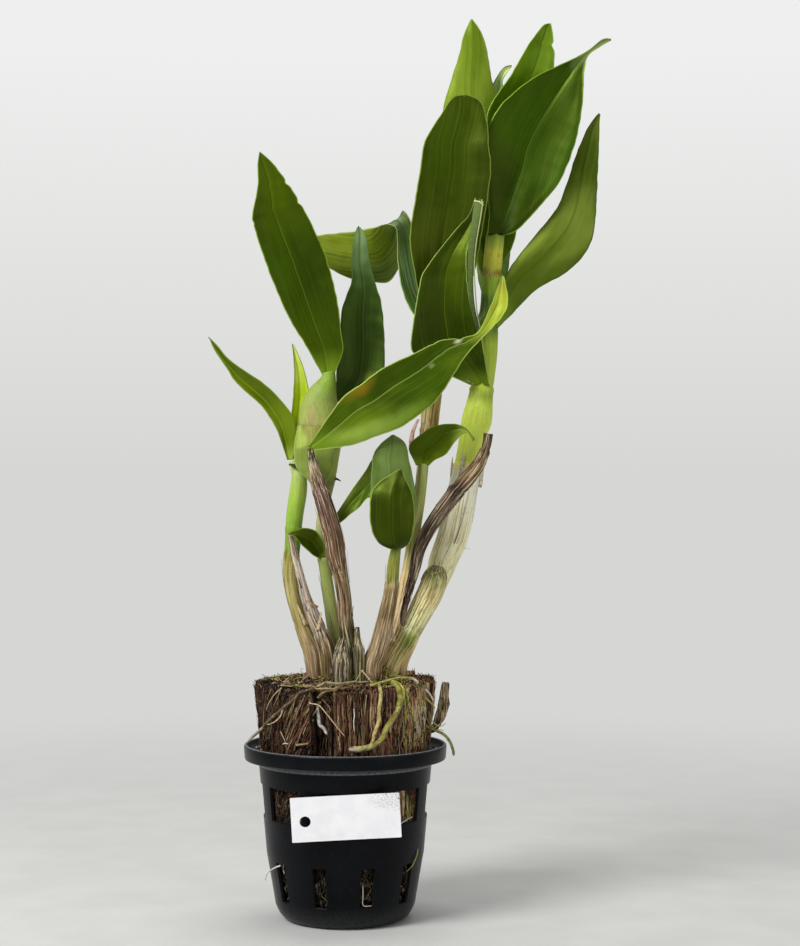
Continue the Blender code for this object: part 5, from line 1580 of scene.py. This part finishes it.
# Papery flaps, bracts and nubs on the canes: colour, half width, flatness and x, y, z
FLAPS = [
    ((124, 132, 66), 0.9, 0.3, [(69, -5, 286.5), (64, -7, 289), (60.5, -8, 290.5), (58.9, -8, 290)]),
    ((222, 180, 168), 1.6, 0.25, [(35.6, 0, 254), (35.8, -1, 259), (37, -1.4, 263), (39.4, -1, 268)]),
    (TAN, 0.8, 0.3, [(-14, -21, 168), (-17, -22, 170), (-19.4, -22, 171.6)]),
    ((60, 70, 30), 1.3, 0.8, [(-26, -10.5, 242.6), (-28.6, -10.6, 243.3), (-29.8, -10, 243.6)]),
    ((34, 30, 26), 0.7, 0.9, [(-5, -10, 236), (-3.4, -10.6, 235.4), (-2.2, -10.6, 234.6)]),
    ((34, 30, 26), 0.4, 0.9, [(2, -18, 132), (1.2, -21.4, 133.4), (0.4, -23, 134)]),
    (PALE, 1.2, 0.2, [(-20.6, -13, 158), (-22.8, -13.6, 163), (-25.4, -13, 169)]),
    (PALE, 1.0, 0.2, [(-14, -21, 156), (-13, -21.6, 161), (-12.2, -21.8, 166)]),
    ((196, 180, 152), 1.3, 0.2, [(21.4, -26.6, 158), (22.4, -27.6, 164), (22, -28.4, 170)]),
    ((206, 190, 150), 1.1, 0.2, [(26.4, -19, 150), (25, -19.6, 156), (24.6, -19.8, 161)]),
]


def add_cane_fibres(bundle, picks):
    """Fibres that lie along the canes' dry skin, some peeling off at their upper end."""
    for name, (count, low, high, tones) in CANE_FIBRES.items():
        stations = CANES[name]
        length = path_length(stations)
        rows = smooth_path(stations, round(length / 2))
        places = walk(rows)
        for _ in range(count):
            start = int(picks.uniform(low, high) * len(rows))
            reach = picks.randint(4, 13)
            turn = picks.uniform(0, math.tau)
            twist = picks.gauss(0, 0.03)
            peel = picks.choice((0, 0, 1.2))
            path = []
            for step_index, index in enumerate(range(start, min(start + reach, len(rows)))):
                middle, _, side, other = places[index]
                here = turn + twist * step_index
                out = rows[index][3] + 0.22 + peel * (step_index / reach) ** 2
                path.append(middle + (side * math.cos(here) + other * math.sin(here)) * out)
            if len(path) > 2:
                thick = picks.uniform(0.1, 0.3)
                bundle.strand(path, thick, thick * 0.4, srgb(*picks.choice(tones)), spacing=2)


def add_flaps(bundle, picks):
    """Torn papery layers and small bracts on the canes."""
    for tone, width, flat, points in FLAPS:
        path = [Vector(point) for point in points]
        bundle.strand(path, width, width * 0.35, srgb(*tone), sides=8, spacing=0.8, flat=flat)
    for _ in range(SHEATH_RAGS):
        turn = picks.uniform(0, math.tau)
        out = Vector((math.cos(turn), math.sin(turn), 0))
        foot = Vector((65.4, 4, picks.uniform(231, 238)))
        reach = foot + out * 7.6
        rise = Vector((picks.uniform(0.2, 1.8), 0, picks.uniform(6, 15)))
        tip = reach + rise + out * picks.uniform(0, 0.8)
        path = [reach, reach.lerp(tip, 0.5) + out * 0.3, tip]
        width = picks.uniform(0.6, 1.7)
        tone = picks.choice((PALE, WHITE, (228, 218, 190)))
        bundle.strand(path, width, 0.15, srgb(*tone), sides=6, spacing=1.2, flat=0.2)
    for _ in range(SHEATH_HAIRS):
        foot = Vector((picks.uniform(56, 61), picks.uniform(-1, 6), picks.uniform(197, 214)))
        tip = foot + Vector((picks.uniform(2, 7), picks.uniform(-3, 2), picks.uniform(-3, 8)))
        path = [foot, foot.lerp(tip, 0.5) + Vector((0.8, 0, 0.4)), tip]
        bundle.strand(path, 0.14, 0.07, srgb(*PALE), spacing=1.2)


# Rolled margins of the leaves: colour, end colour, half width, half width at the end, flatness and x, y, z
CURLS = [
    ((60, 76, 40), (104, 122, 62), 1.0, 2.2, 0.2,
     [(71, -21.4, 314), (68.6, -22.6, 322.4), (67, -22.9, 333), (66.6, -23, 346), (67.3, -22.8, 360),
      (69.3, -21.8, 372), (70.8, -20, 382)]),
    ((128, 148, 94), (176, 180, 122), 0.35, 0.35, 0.6,
     [(71.8, -21.6, 315), (69.8, -23, 326), (68.6, -23.5, 346), (69.6, -23.2, 360), (71.8, -22, 373),
      (73.2, -20.2, 382.6)]),
    ((206, 200, 150), (214, 206, 160), 0.5, 0.4, 0.6,
     [(68.6, -20.4, 383), (70.4, -20.6, 382.6), (72, -20.6, 382), (73.6, -20.2, 380.6)]),
]


def build_curls():
    """Margins that roll back and show the paler underside."""
    bundle = Bundle()
    for tone, end, thick, thin, flat, points in CURLS:
        path = [Vector(point) for point in points]
        bundle.strand(path, thick, thin, srgb(*tone), sides=10, spacing=1, end_colour=srgb(*end), flat=flat)
    bundle.finish("leaf_curls", strand_material("leaf_curls", 0.3), "leaf")


def build_loose_parts():
    """Fibres, flaps, moss, crumbs and fine roots, each sort as one piece."""
    picks = random.Random(SEED)
    material = strand_material("loose_fibres")
    canes = Bundle()
    add_cane_fibres(canes, picks)
    add_flaps(canes, picks)
    canes.finish("cane_fibres", material, "dry_cane")
    fibres = Bundle()
    add_face_fibres(fibres, picks)
    add_rim_tufts(fibres, picks)
    fibres.finish("husk_fibres", material, "husk")
    mat = Bundle()
    add_mat(mat, picks)
    add_crumbs(mat, picks)
    mat.finish("moss_and_root_mat", material, "root_mass")
    roots = Bundle()
    add_fine_roots(roots)
    add_slot_roots(roots, picks)
    roots.finish("fine_roots", material, "root")


# Pot and tag

POT_SPACING = 2.4
SHARP_EDGE = 38
RIM = [(53.1, 85.5), (53.8, 85.7), (54.1, 86.3), (54.35, 89), (54.5, 92.4), (54.3, 93.1), (53.8, 93.5),
       (53.2, 93.5), (52.7, 93.2), (52.4, 92), (52.1, 90.6), (51.2, 89.8), (50, 89.2), (48.2, 88.4),
       (46, 88.05)]


def pot_rows():
    """Outer and inner radius and height of the shell, from the middle of the floor up to the lip."""
    rows = [(radius, 0, radius, POT_FLOOR) for radius in (5, 13, 17, 21, 25, 28)]
    rows += [(29.6, 0, 29.6, POT_FLOOR), (31.6, 0.4, 30.9, 2.1), (33, 1.2, 31.6, 2.5),
             (34.5, 2.5, 32.7, 3.4)]
    low = SLOT_MIDDLE - SLOT_SIZE[1] / 2
    high = SLOT_MIDDLE + SLOT_SIZE[1] / 2
    sill = WINDOW_MIDDLE - WINDOW_SIZE[1] / 2
    head = WINDOW_MIDDLE + WINDOW_SIZE[1] / 2
    heights = [4, 5.5, 8, low, 15, 19, 23, 27, 30, high, 36, 40, 44, 48, 52, sill, 59, 63, 67, 70, head,
               76, 80, 82.6]
    for height in heights:
        radius = blend(POT_OUTER, height)
        rows.append((radius, height, radius - POT_WALL, height + 0.3))
    for proud, height in ((0.7, 83.0), (0.95, 83.5), (1.0, 85.3)):
        radius = blend(POT_OUTER, height)
        rows.append((radius + proud, height, radius - POT_WALL, height + 1.6))
    return rows, (low, high), (sill, head)


def pot_angles():
    """Angles round the pot, with one at each side of every opening and even steps between."""
    window = math.degrees(math.asin(WINDOW_SIZE[0] / 2 / blend(POT_OUTER, WINDOW_MIDDLE)))
    slot = math.degrees(math.asin(SLOT_SIZE[0] / 2 / blend(POT_OUTER, SLOT_MIDDLE)))
    drain = math.degrees(math.asin(DRAIN_SIZE[1] / 2 / DRAIN_RADIUS))
    families = [("window", window, [360 * i / WINDOW_COUNT for i in range(WINDOW_COUNT)]),
                ("slot", slot, [360 * (i + 0.5) / SLOT_COUNT for i in range(SLOT_COUNT)]),
                ("drain", drain, [360 * i / DRAIN_COUNT for i in range(DRAIN_COUNT)])]
    stops = sorted({round((middle + sign * half) % 360, 4)
                    for _, half, middles in families for middle in middles for sign in (-1, 1)})
    angles = []
    for first, second in zip(stops, stops[1:] + [stops[0] + 360]):
        steps = max(1, math.ceil((second - first) / POT_SPACING))
        angles += [first + (second - first) * index / steps for index in range(steps)]
    return angles, families


def in_family(families, kind, angle):
    """Whether an angle lies within one of the openings of a kind."""
    for name, half, middles in families:
        if name == kind:
            return any(abs((angle - middle + 180) % 360 - 180) < half for middle in middles)
    return False


def pot_material():
    """Black moulded plastic, satin, with dust on its ledge, a few scratches, and pale edges that are partly
    wear and partly a painted highlight along the lip.
    """
    graph = Graph("pot_plastic", specular=0.1)
    place = graph.place()
    clouds = graph.noise(place, 0.05, 3)
    dust = graph.noise(place, 0.8, 5, 0.7)
    grit = graph.noise(place, 2.6, 2)
    scrape = graph.noise(graph.stretch(place, (0.35, 0.35, 2.2)), 1.0, 3, 0.6, 1.5)
    wear_and_highlight = graph.mark("wear_and_highlight")
    dusty = graph.mark("dust")
    colour = graph.coat(srgb(3, 4, 7), srgb(9, 11, 16), clouds, 0.3, 0.7)
    colour = graph.coat(colour, srgb(96, 100, 102), dust, 0.58, 0.75, 0.1)
    colour = graph.coat(colour, srgb(120, 120, 114), grit, 0.7, 0.77, 0.35)
    colour = graph.coat(colour, srgb(110, 114, 120), scrape, 0.72, 0.78, 0.3)
    settled = graph.math("MULTIPLY", dusty, graph.span(dust, 0.3, 0.62, 0.35, 0.95))
    colour = graph.mix(settled, colour, srgb(84, 86, 84))
    # pale edges: partly wear, partly a painted highlight along the lip's crest and the ledge under it
    worn_and_lit = graph.math("MULTIPLY", wear_and_highlight, graph.span(dust, 0.3, 0.6, 0.3, 0.9))
    colour = graph.mix(worn_and_lit, colour, srgb(150, 154, 158))
    roughness = graph.math("ADD", 0.16, graph.math("MULTIPLY", graph.math("MAXIMUM", dust, dusty), 0.3))
    bump = graph.math("ADD", graph.math("MULTIPLY", grit, 0.25), graph.math("MULTIPLY", clouds, 2.5))
    return graph.finish(colour, bump, 0.35, 0.12, roughness)


def build_pot():
    """The pot: its shell with windows, slots and drains, and the rounded lip."""
    rows, slot_span, window_span = pot_rows()
    angles, families = pot_angles()
    count = len(angles)
    points = []
    wear_and_highlight = []
    dust = []
    for side in (0, 2):
        for row in rows:
            for angle in angles:
                points.append(around(row[side], angle, row[side + 1]))
                # the pale line on the ledge under the lip's collar is a painted highlight as well as wear
                wear_and_highlight.append(0.5 if 82.7 < row[1] < 83.6 and side == 0 else 0.0)
                dust.append(0.35 * step(row[1], 14, 0) if side == 0 else 0.3)
    for radius, height in RIM:
        for angle in angles:
            points.append(around(radius, angle, height))
            # the pale line along the lip's top crest is a painted highlight, and the lip's lower edge gets a
            # fainter one
            crest_highlight = 0.85 * step(height, 93.0, 93.5) * step(radius, 52.9, 53.4)
            wear_and_highlight.append(crest_highlight + (0.2 if height < 86 else 0.0))
            dust.append(step(radius, 54.2, 52.6) * step(height, 86, 88))
    inner = len(rows) * count
    rim = 2 * inner

    def is_open(row, column):
        middle = (angles[column] + (angles[column + 1] if column + 1 < count else angles[0] + 360)) / 2
        low, high = rows[row], rows[row + 1]
        height = (low[1] + high[1]) / 2
        if height == 0:
            radius = (low[0] + high[0]) / 2
            return abs(radius - DRAIN_RADIUS) < DRAIN_SIZE[0] / 2 and in_family(families, "drain", middle)
        if slot_span[0] < height < slot_span[1]:
            return in_family(families, "slot", middle)
        return window_span[0] < height < window_span[1] and in_family(families, "window", middle)

    holes = [[is_open(row, column) for column in range(count)] for row in range(len(rows) - 1)]
    faces = []
    for row in range(len(rows) - 1):
        for column in range(count):
            after = (column + 1) % count
            a, b = row * count + column, row * count + after
            c, d = b + count, a + count
            if not holes[row][column]:
                faces += [(a, b, c, d), (inner + d, inner + c, inner + b, inner + a)]
                continue
            if not holes[row][column - 1]:
                faces.append((a, d, inner + d, inner + a))
            if not holes[row][after]:
                faces.append((c, b, inner + b, inner + c))
            if not holes[row - 1][column]:
                faces.append((b, a, inner + a, inner + b))
            if not holes[row + 1][column]:
                faces.append((d, c, inner + c, inner + d))
    ends = [(len(rows) - 1) * count] + [rim + index * count for index in range(len(RIM))]
    ends.append(inner + (len(rows) - 1) * count)
    for low, high in zip(ends, ends[1:]):
        for column in range(count):
            after = (column + 1) % count
            faces.append((low + column, low + after, high + after, high + column))
    faces.append(tuple(range(count)))
    faces.append(tuple(range(inner, inner + count)))
    marks = {"wear_and_highlight": wear_and_highlight, "dust": dust}
    item = make_piece("pot_shell", points, faces, [pot_material()], marks, nodes=["pot"])
    turn_out(item)
    item.data.set_sharp_from_angle(angle=math.radians(SHARP_EDGE))
    bevel = item.modifiers.new("soft edges", "BEVEL")
    bevel.width = 0.28 * MM
    bevel.segments = 2
    bevel.limit_method = "ANGLE"
    bevel.angle_limit = math.radians(48)


def tag_material():
    """White plastic sheet with a few specks of dirt towards its upper right corner."""
    graph = Graph("tag_plastic", specular=0.4)
    place = graph.place()
    across = graph.axis(place, "X")
    height = graph.axis(place, "Z")
    clouds = graph.noise(place, 0.12, 3)
    specks = graph.noise(graph.stretch(place, (1, 1, 1.3)), 1.5, 4, 0.75)
    corner = graph.math("MULTIPLY", graph.span(across, 8, 26), graph.span(height, 62, 70))
    colour = graph.coat(srgb(240, 240, 244), srgb(248, 248, 250), clouds, 0.3, 0.7)
    dirt = graph.math("MULTIPLY", graph.span(specks, 0.52, 0.6), graph.math("ADD", 0.05, corner))
    colour = graph.mix(dirt, colour, srgb(132, 112, 84))
    ripples = graph.noise(place, 0.35, 3)
    return graph.finish(colour, ripples, 0.25, 0.15, graph.span(clouds, 0.3, 0.7, 0.3, 0.42))


TAG_CORNER = 0.4
TAG_BOW = 0.35
TAG_TURNS = 120
TAG_RINGS = 14


def to_edge(direction, half, hole):
    """How far the tag's edge lies from the middle of its hole, from one axis of a direction."""
    if abs(direction) <= 1e-6:
        return math.inf
    return (math.copysign(half, direction) - hole) / direction


def build_tag():
    """The blank tag with its round hole and rounded corners, a little bowed."""
    across, thick, tall = LABEL_SIZE
    slope = math.atan((blend(POT_OUTER, 85.5) - blend(POT_OUTER, 36)) / (85.5 - 36))
    tilt = math.radians(LABEL_TILT)
    stand = blend(POT_OUTER, LABEL_MIDDLE[1]) + (GAP + thick / 2) / math.cos(slope)
    half_u, half_v = across / 2, tall / 2
    turns = [math.tau * index / TAG_TURNS for index in range(TAG_TURNS)]
    for sign_u in (1, -1):
        for sign_v in (1, -1):
            to_corner = math.atan2(sign_v * half_v - LABEL_HOLE[1], sign_u * half_u - LABEL_HOLE[0])
            turns += [(to_corner + off) % math.tau for off in (-0.012, -0.004, 0.004, 0.012)]
    turns.sort()
    points = []
    for face in (-1, 1):
        for ring in range(TAG_RINGS + 1):
            for turn in turns:
                dx, dy = math.cos(turn), math.sin(turn)
                far = min(to_edge(dx, half_u, LABEL_HOLE[0]), to_edge(dy, half_v, LABEL_HOLE[1]))
                reach = lerp(LABEL_HOLE_RADIUS, far, ring / TAG_RINGS)
                u, v = LABEL_HOLE[0] + dx * reach, LABEL_HOLE[1] + dy * reach
                over_u, over_v = abs(u) - (half_u - TAG_CORNER), abs(v) - (half_v - TAG_CORNER)
                if over_u > 0 and over_v > 0:
                    pull = min(1, TAG_CORNER / math.hypot(over_u, over_v))
                    u = math.copysign(half_u - TAG_CORNER + over_u * pull, u)
                    v = math.copysign(half_v - TAG_CORNER + over_v * pull, v)
                depth = face * thick / 2 - TAG_BOW * (u / half_u) ** 2
                x = u * math.cos(tilt) - v * math.sin(tilt)
                z = u * math.sin(tilt) + v * math.cos(tilt)
                y = -stand + depth - z * math.tan(slope)
                points.append((LABEL_MIDDLE[0] + x, y, LABEL_MIDDLE[1] + z))
    wide = len(turns)
    back = wide * (TAG_RINGS + 1)
    front = grid_faces(TAG_RINGS + 1, wide, True)
    faces = front + [tuple(back + i for i in reversed(face)) for face in front]
    for start in (0, TAG_RINGS * wide):
        for column in range(wide):
            after = (column + 1) % wide
            faces.append((start + column, start + after, start + after + back, start + column + back))
    item = make_piece("tag", points, faces, [tag_material()], nodes=["plant_label"])
    turn_out(item)
    item.data.set_sharp_from_angle(angle=math.radians(40))


# Camera, light and floor

CAMERA_PLACE = (29.4, -1100, 239)
CAMERA_LENS = 77.7
BACKDROP_LOW = (214, 215, 212)
BACKDROP_HIGH = (238, 239, 238)
BACKDROP_RISE = 0.2
AMBIENT = 0.42
FLOOR_DROP = 0.0002

# Name, place, width and power of each light
LIGHTS = [("key", (-0.95, -1.0, 1.25), 0.8, 27), ("fill", (1.3, -1.2, 0.5), 1.2, 4),
          ("top", (0.1, 0.3, 1.6), 1.0, 8)]
LIGHT_AIM = (0.03, 0, 0.25)


def floor_material():
    """Pale floor that fades into the background's own tone far from the plant."""
    graph = Graph("floor_paint", roughness=0.85, specular=0.1)
    place = graph.place()
    flat = graph.stretch(place, (1, 1, 0))
    far = graph.node("ShaderNodeVectorMath", {0: flat}, operation="LENGTH").outputs["Value"]
    mottle = graph.noise(place, 0.02, 3)
    colour = graph.coat(srgb(202, 202, 199), srgb(208, 208, 205), mottle, 0.3, 0.7)
    graph.put(graph.shader.inputs["Base Color"], colour)
    glow = graph.node("ShaderNodeEmission", {"Color": srgb(*BACKDROP_LOW), "Strength": 1.0})
    share = graph.span(far, 150, 1000)
    mixed = graph.node("ShaderNodeMixShader", {0: share, 1: graph.shader.outputs[0], 2: glow.outputs[0]})
    output = graph.tree.nodes["Material Output"]
    graph.put(output.inputs["Surface"], mixed.outputs[0])
    return graph.material


def build_floor():
    """A wide round floor just under the pot's foot."""
    place = (0, 0, -FLOOR_DROP)
    bpy.ops.mesh.primitive_circle_add(vertices=96, radius=12, fill_type="NGON", location=place)
    floor = bpy.context.object
    floor.name = "floor"
    floor.data.materials.append(floor_material())


def add_light(name, place, size, power):
    """A round white light that points at the middle of the plant."""
    data = bpy.data.lights.new(name, "AREA")
    data.shape = "DISK"
    data.size = size
    data.energy = power
    item = bpy.data.objects.new(name, data)
    item.location = place
    item.rotation_euler = (Vector(LIGHT_AIM) - Vector(place)).to_track_quat("-Z", "Y").to_euler()
    bpy.context.collection.objects.link(item)


def set_stage():
    """Camera as in the photograph, soft light from the upper left, pale surroundings."""
    scene = bpy.context.scene
    camera = bpy.data.cameras.new("camera")
    camera.lens = CAMERA_LENS
    item = bpy.data.objects.new("camera", camera)
    item.location = Vector(CAMERA_PLACE) * MM
    item.rotation_euler = (math.radians(90), 0, 0)
    bpy.context.collection.objects.link(item)
    scene.camera = item
    set_surroundings(scene)
    scene.view_settings.view_transform = "Standard"
    for name, place, size, power in LIGHTS:
        add_light(name, place, size, power)
    build_floor()


def set_surroundings(scene):
    """Pale backdrop all round, which lights the plant less than it shows."""
    world = bpy.data.worlds.new("surroundings")
    world.use_nodes = True
    tree = world.node_tree
    tree.nodes.clear()
    shown = tree.nodes.new("ShaderNodeBackground")
    split = tree.nodes.new("ShaderNodeSeparateXYZ")
    tree.links.new(tree.nodes.new("ShaderNodeTexCoord").outputs["Generated"], split.inputs[0])
    rise = tree.nodes.new("ShaderNodeMapRange")
    rise.inputs["From Max"].default_value = BACKDROP_RISE
    tree.links.new(split.outputs["Z"], rise.inputs["Value"])
    tone = tree.nodes.new("ShaderNodeMix")
    tone.data_type = "RGBA"
    tone.inputs[6].default_value = (*srgb(*BACKDROP_LOW), 1)
    tone.inputs[7].default_value = (*srgb(*BACKDROP_HIGH), 1)
    tree.links.new(rise.outputs[0], tone.inputs[0])
    tree.links.new(tone.outputs[2], shown.inputs["Color"])
    soft = tree.nodes.new("ShaderNodeBackground")
    soft.inputs["Strength"].default_value = AMBIENT
    ray = tree.nodes.new("ShaderNodeLightPath")
    mixed = tree.nodes.new("ShaderNodeMixShader")
    output = tree.nodes.new("ShaderNodeOutputWorld")
    tree.links.new(ray.outputs["Is Camera Ray"], mixed.inputs[0])
    tree.links.new(soft.outputs[0], mixed.inputs[1])
    tree.links.new(shown.outputs[0], mixed.inputs[2])
    tree.links.new(mixed.outputs[0], output.inputs["Surface"])
    scene.world = world


def main():
    set_stage()
    build_leaves()
    build_canes()
    build_husk()
    build_splinter()
    build_crown()
    build_fill()
    build_roots(root_material())
    build_loose_parts()
    build_curls()
    build_pot()
    build_tag()


main()
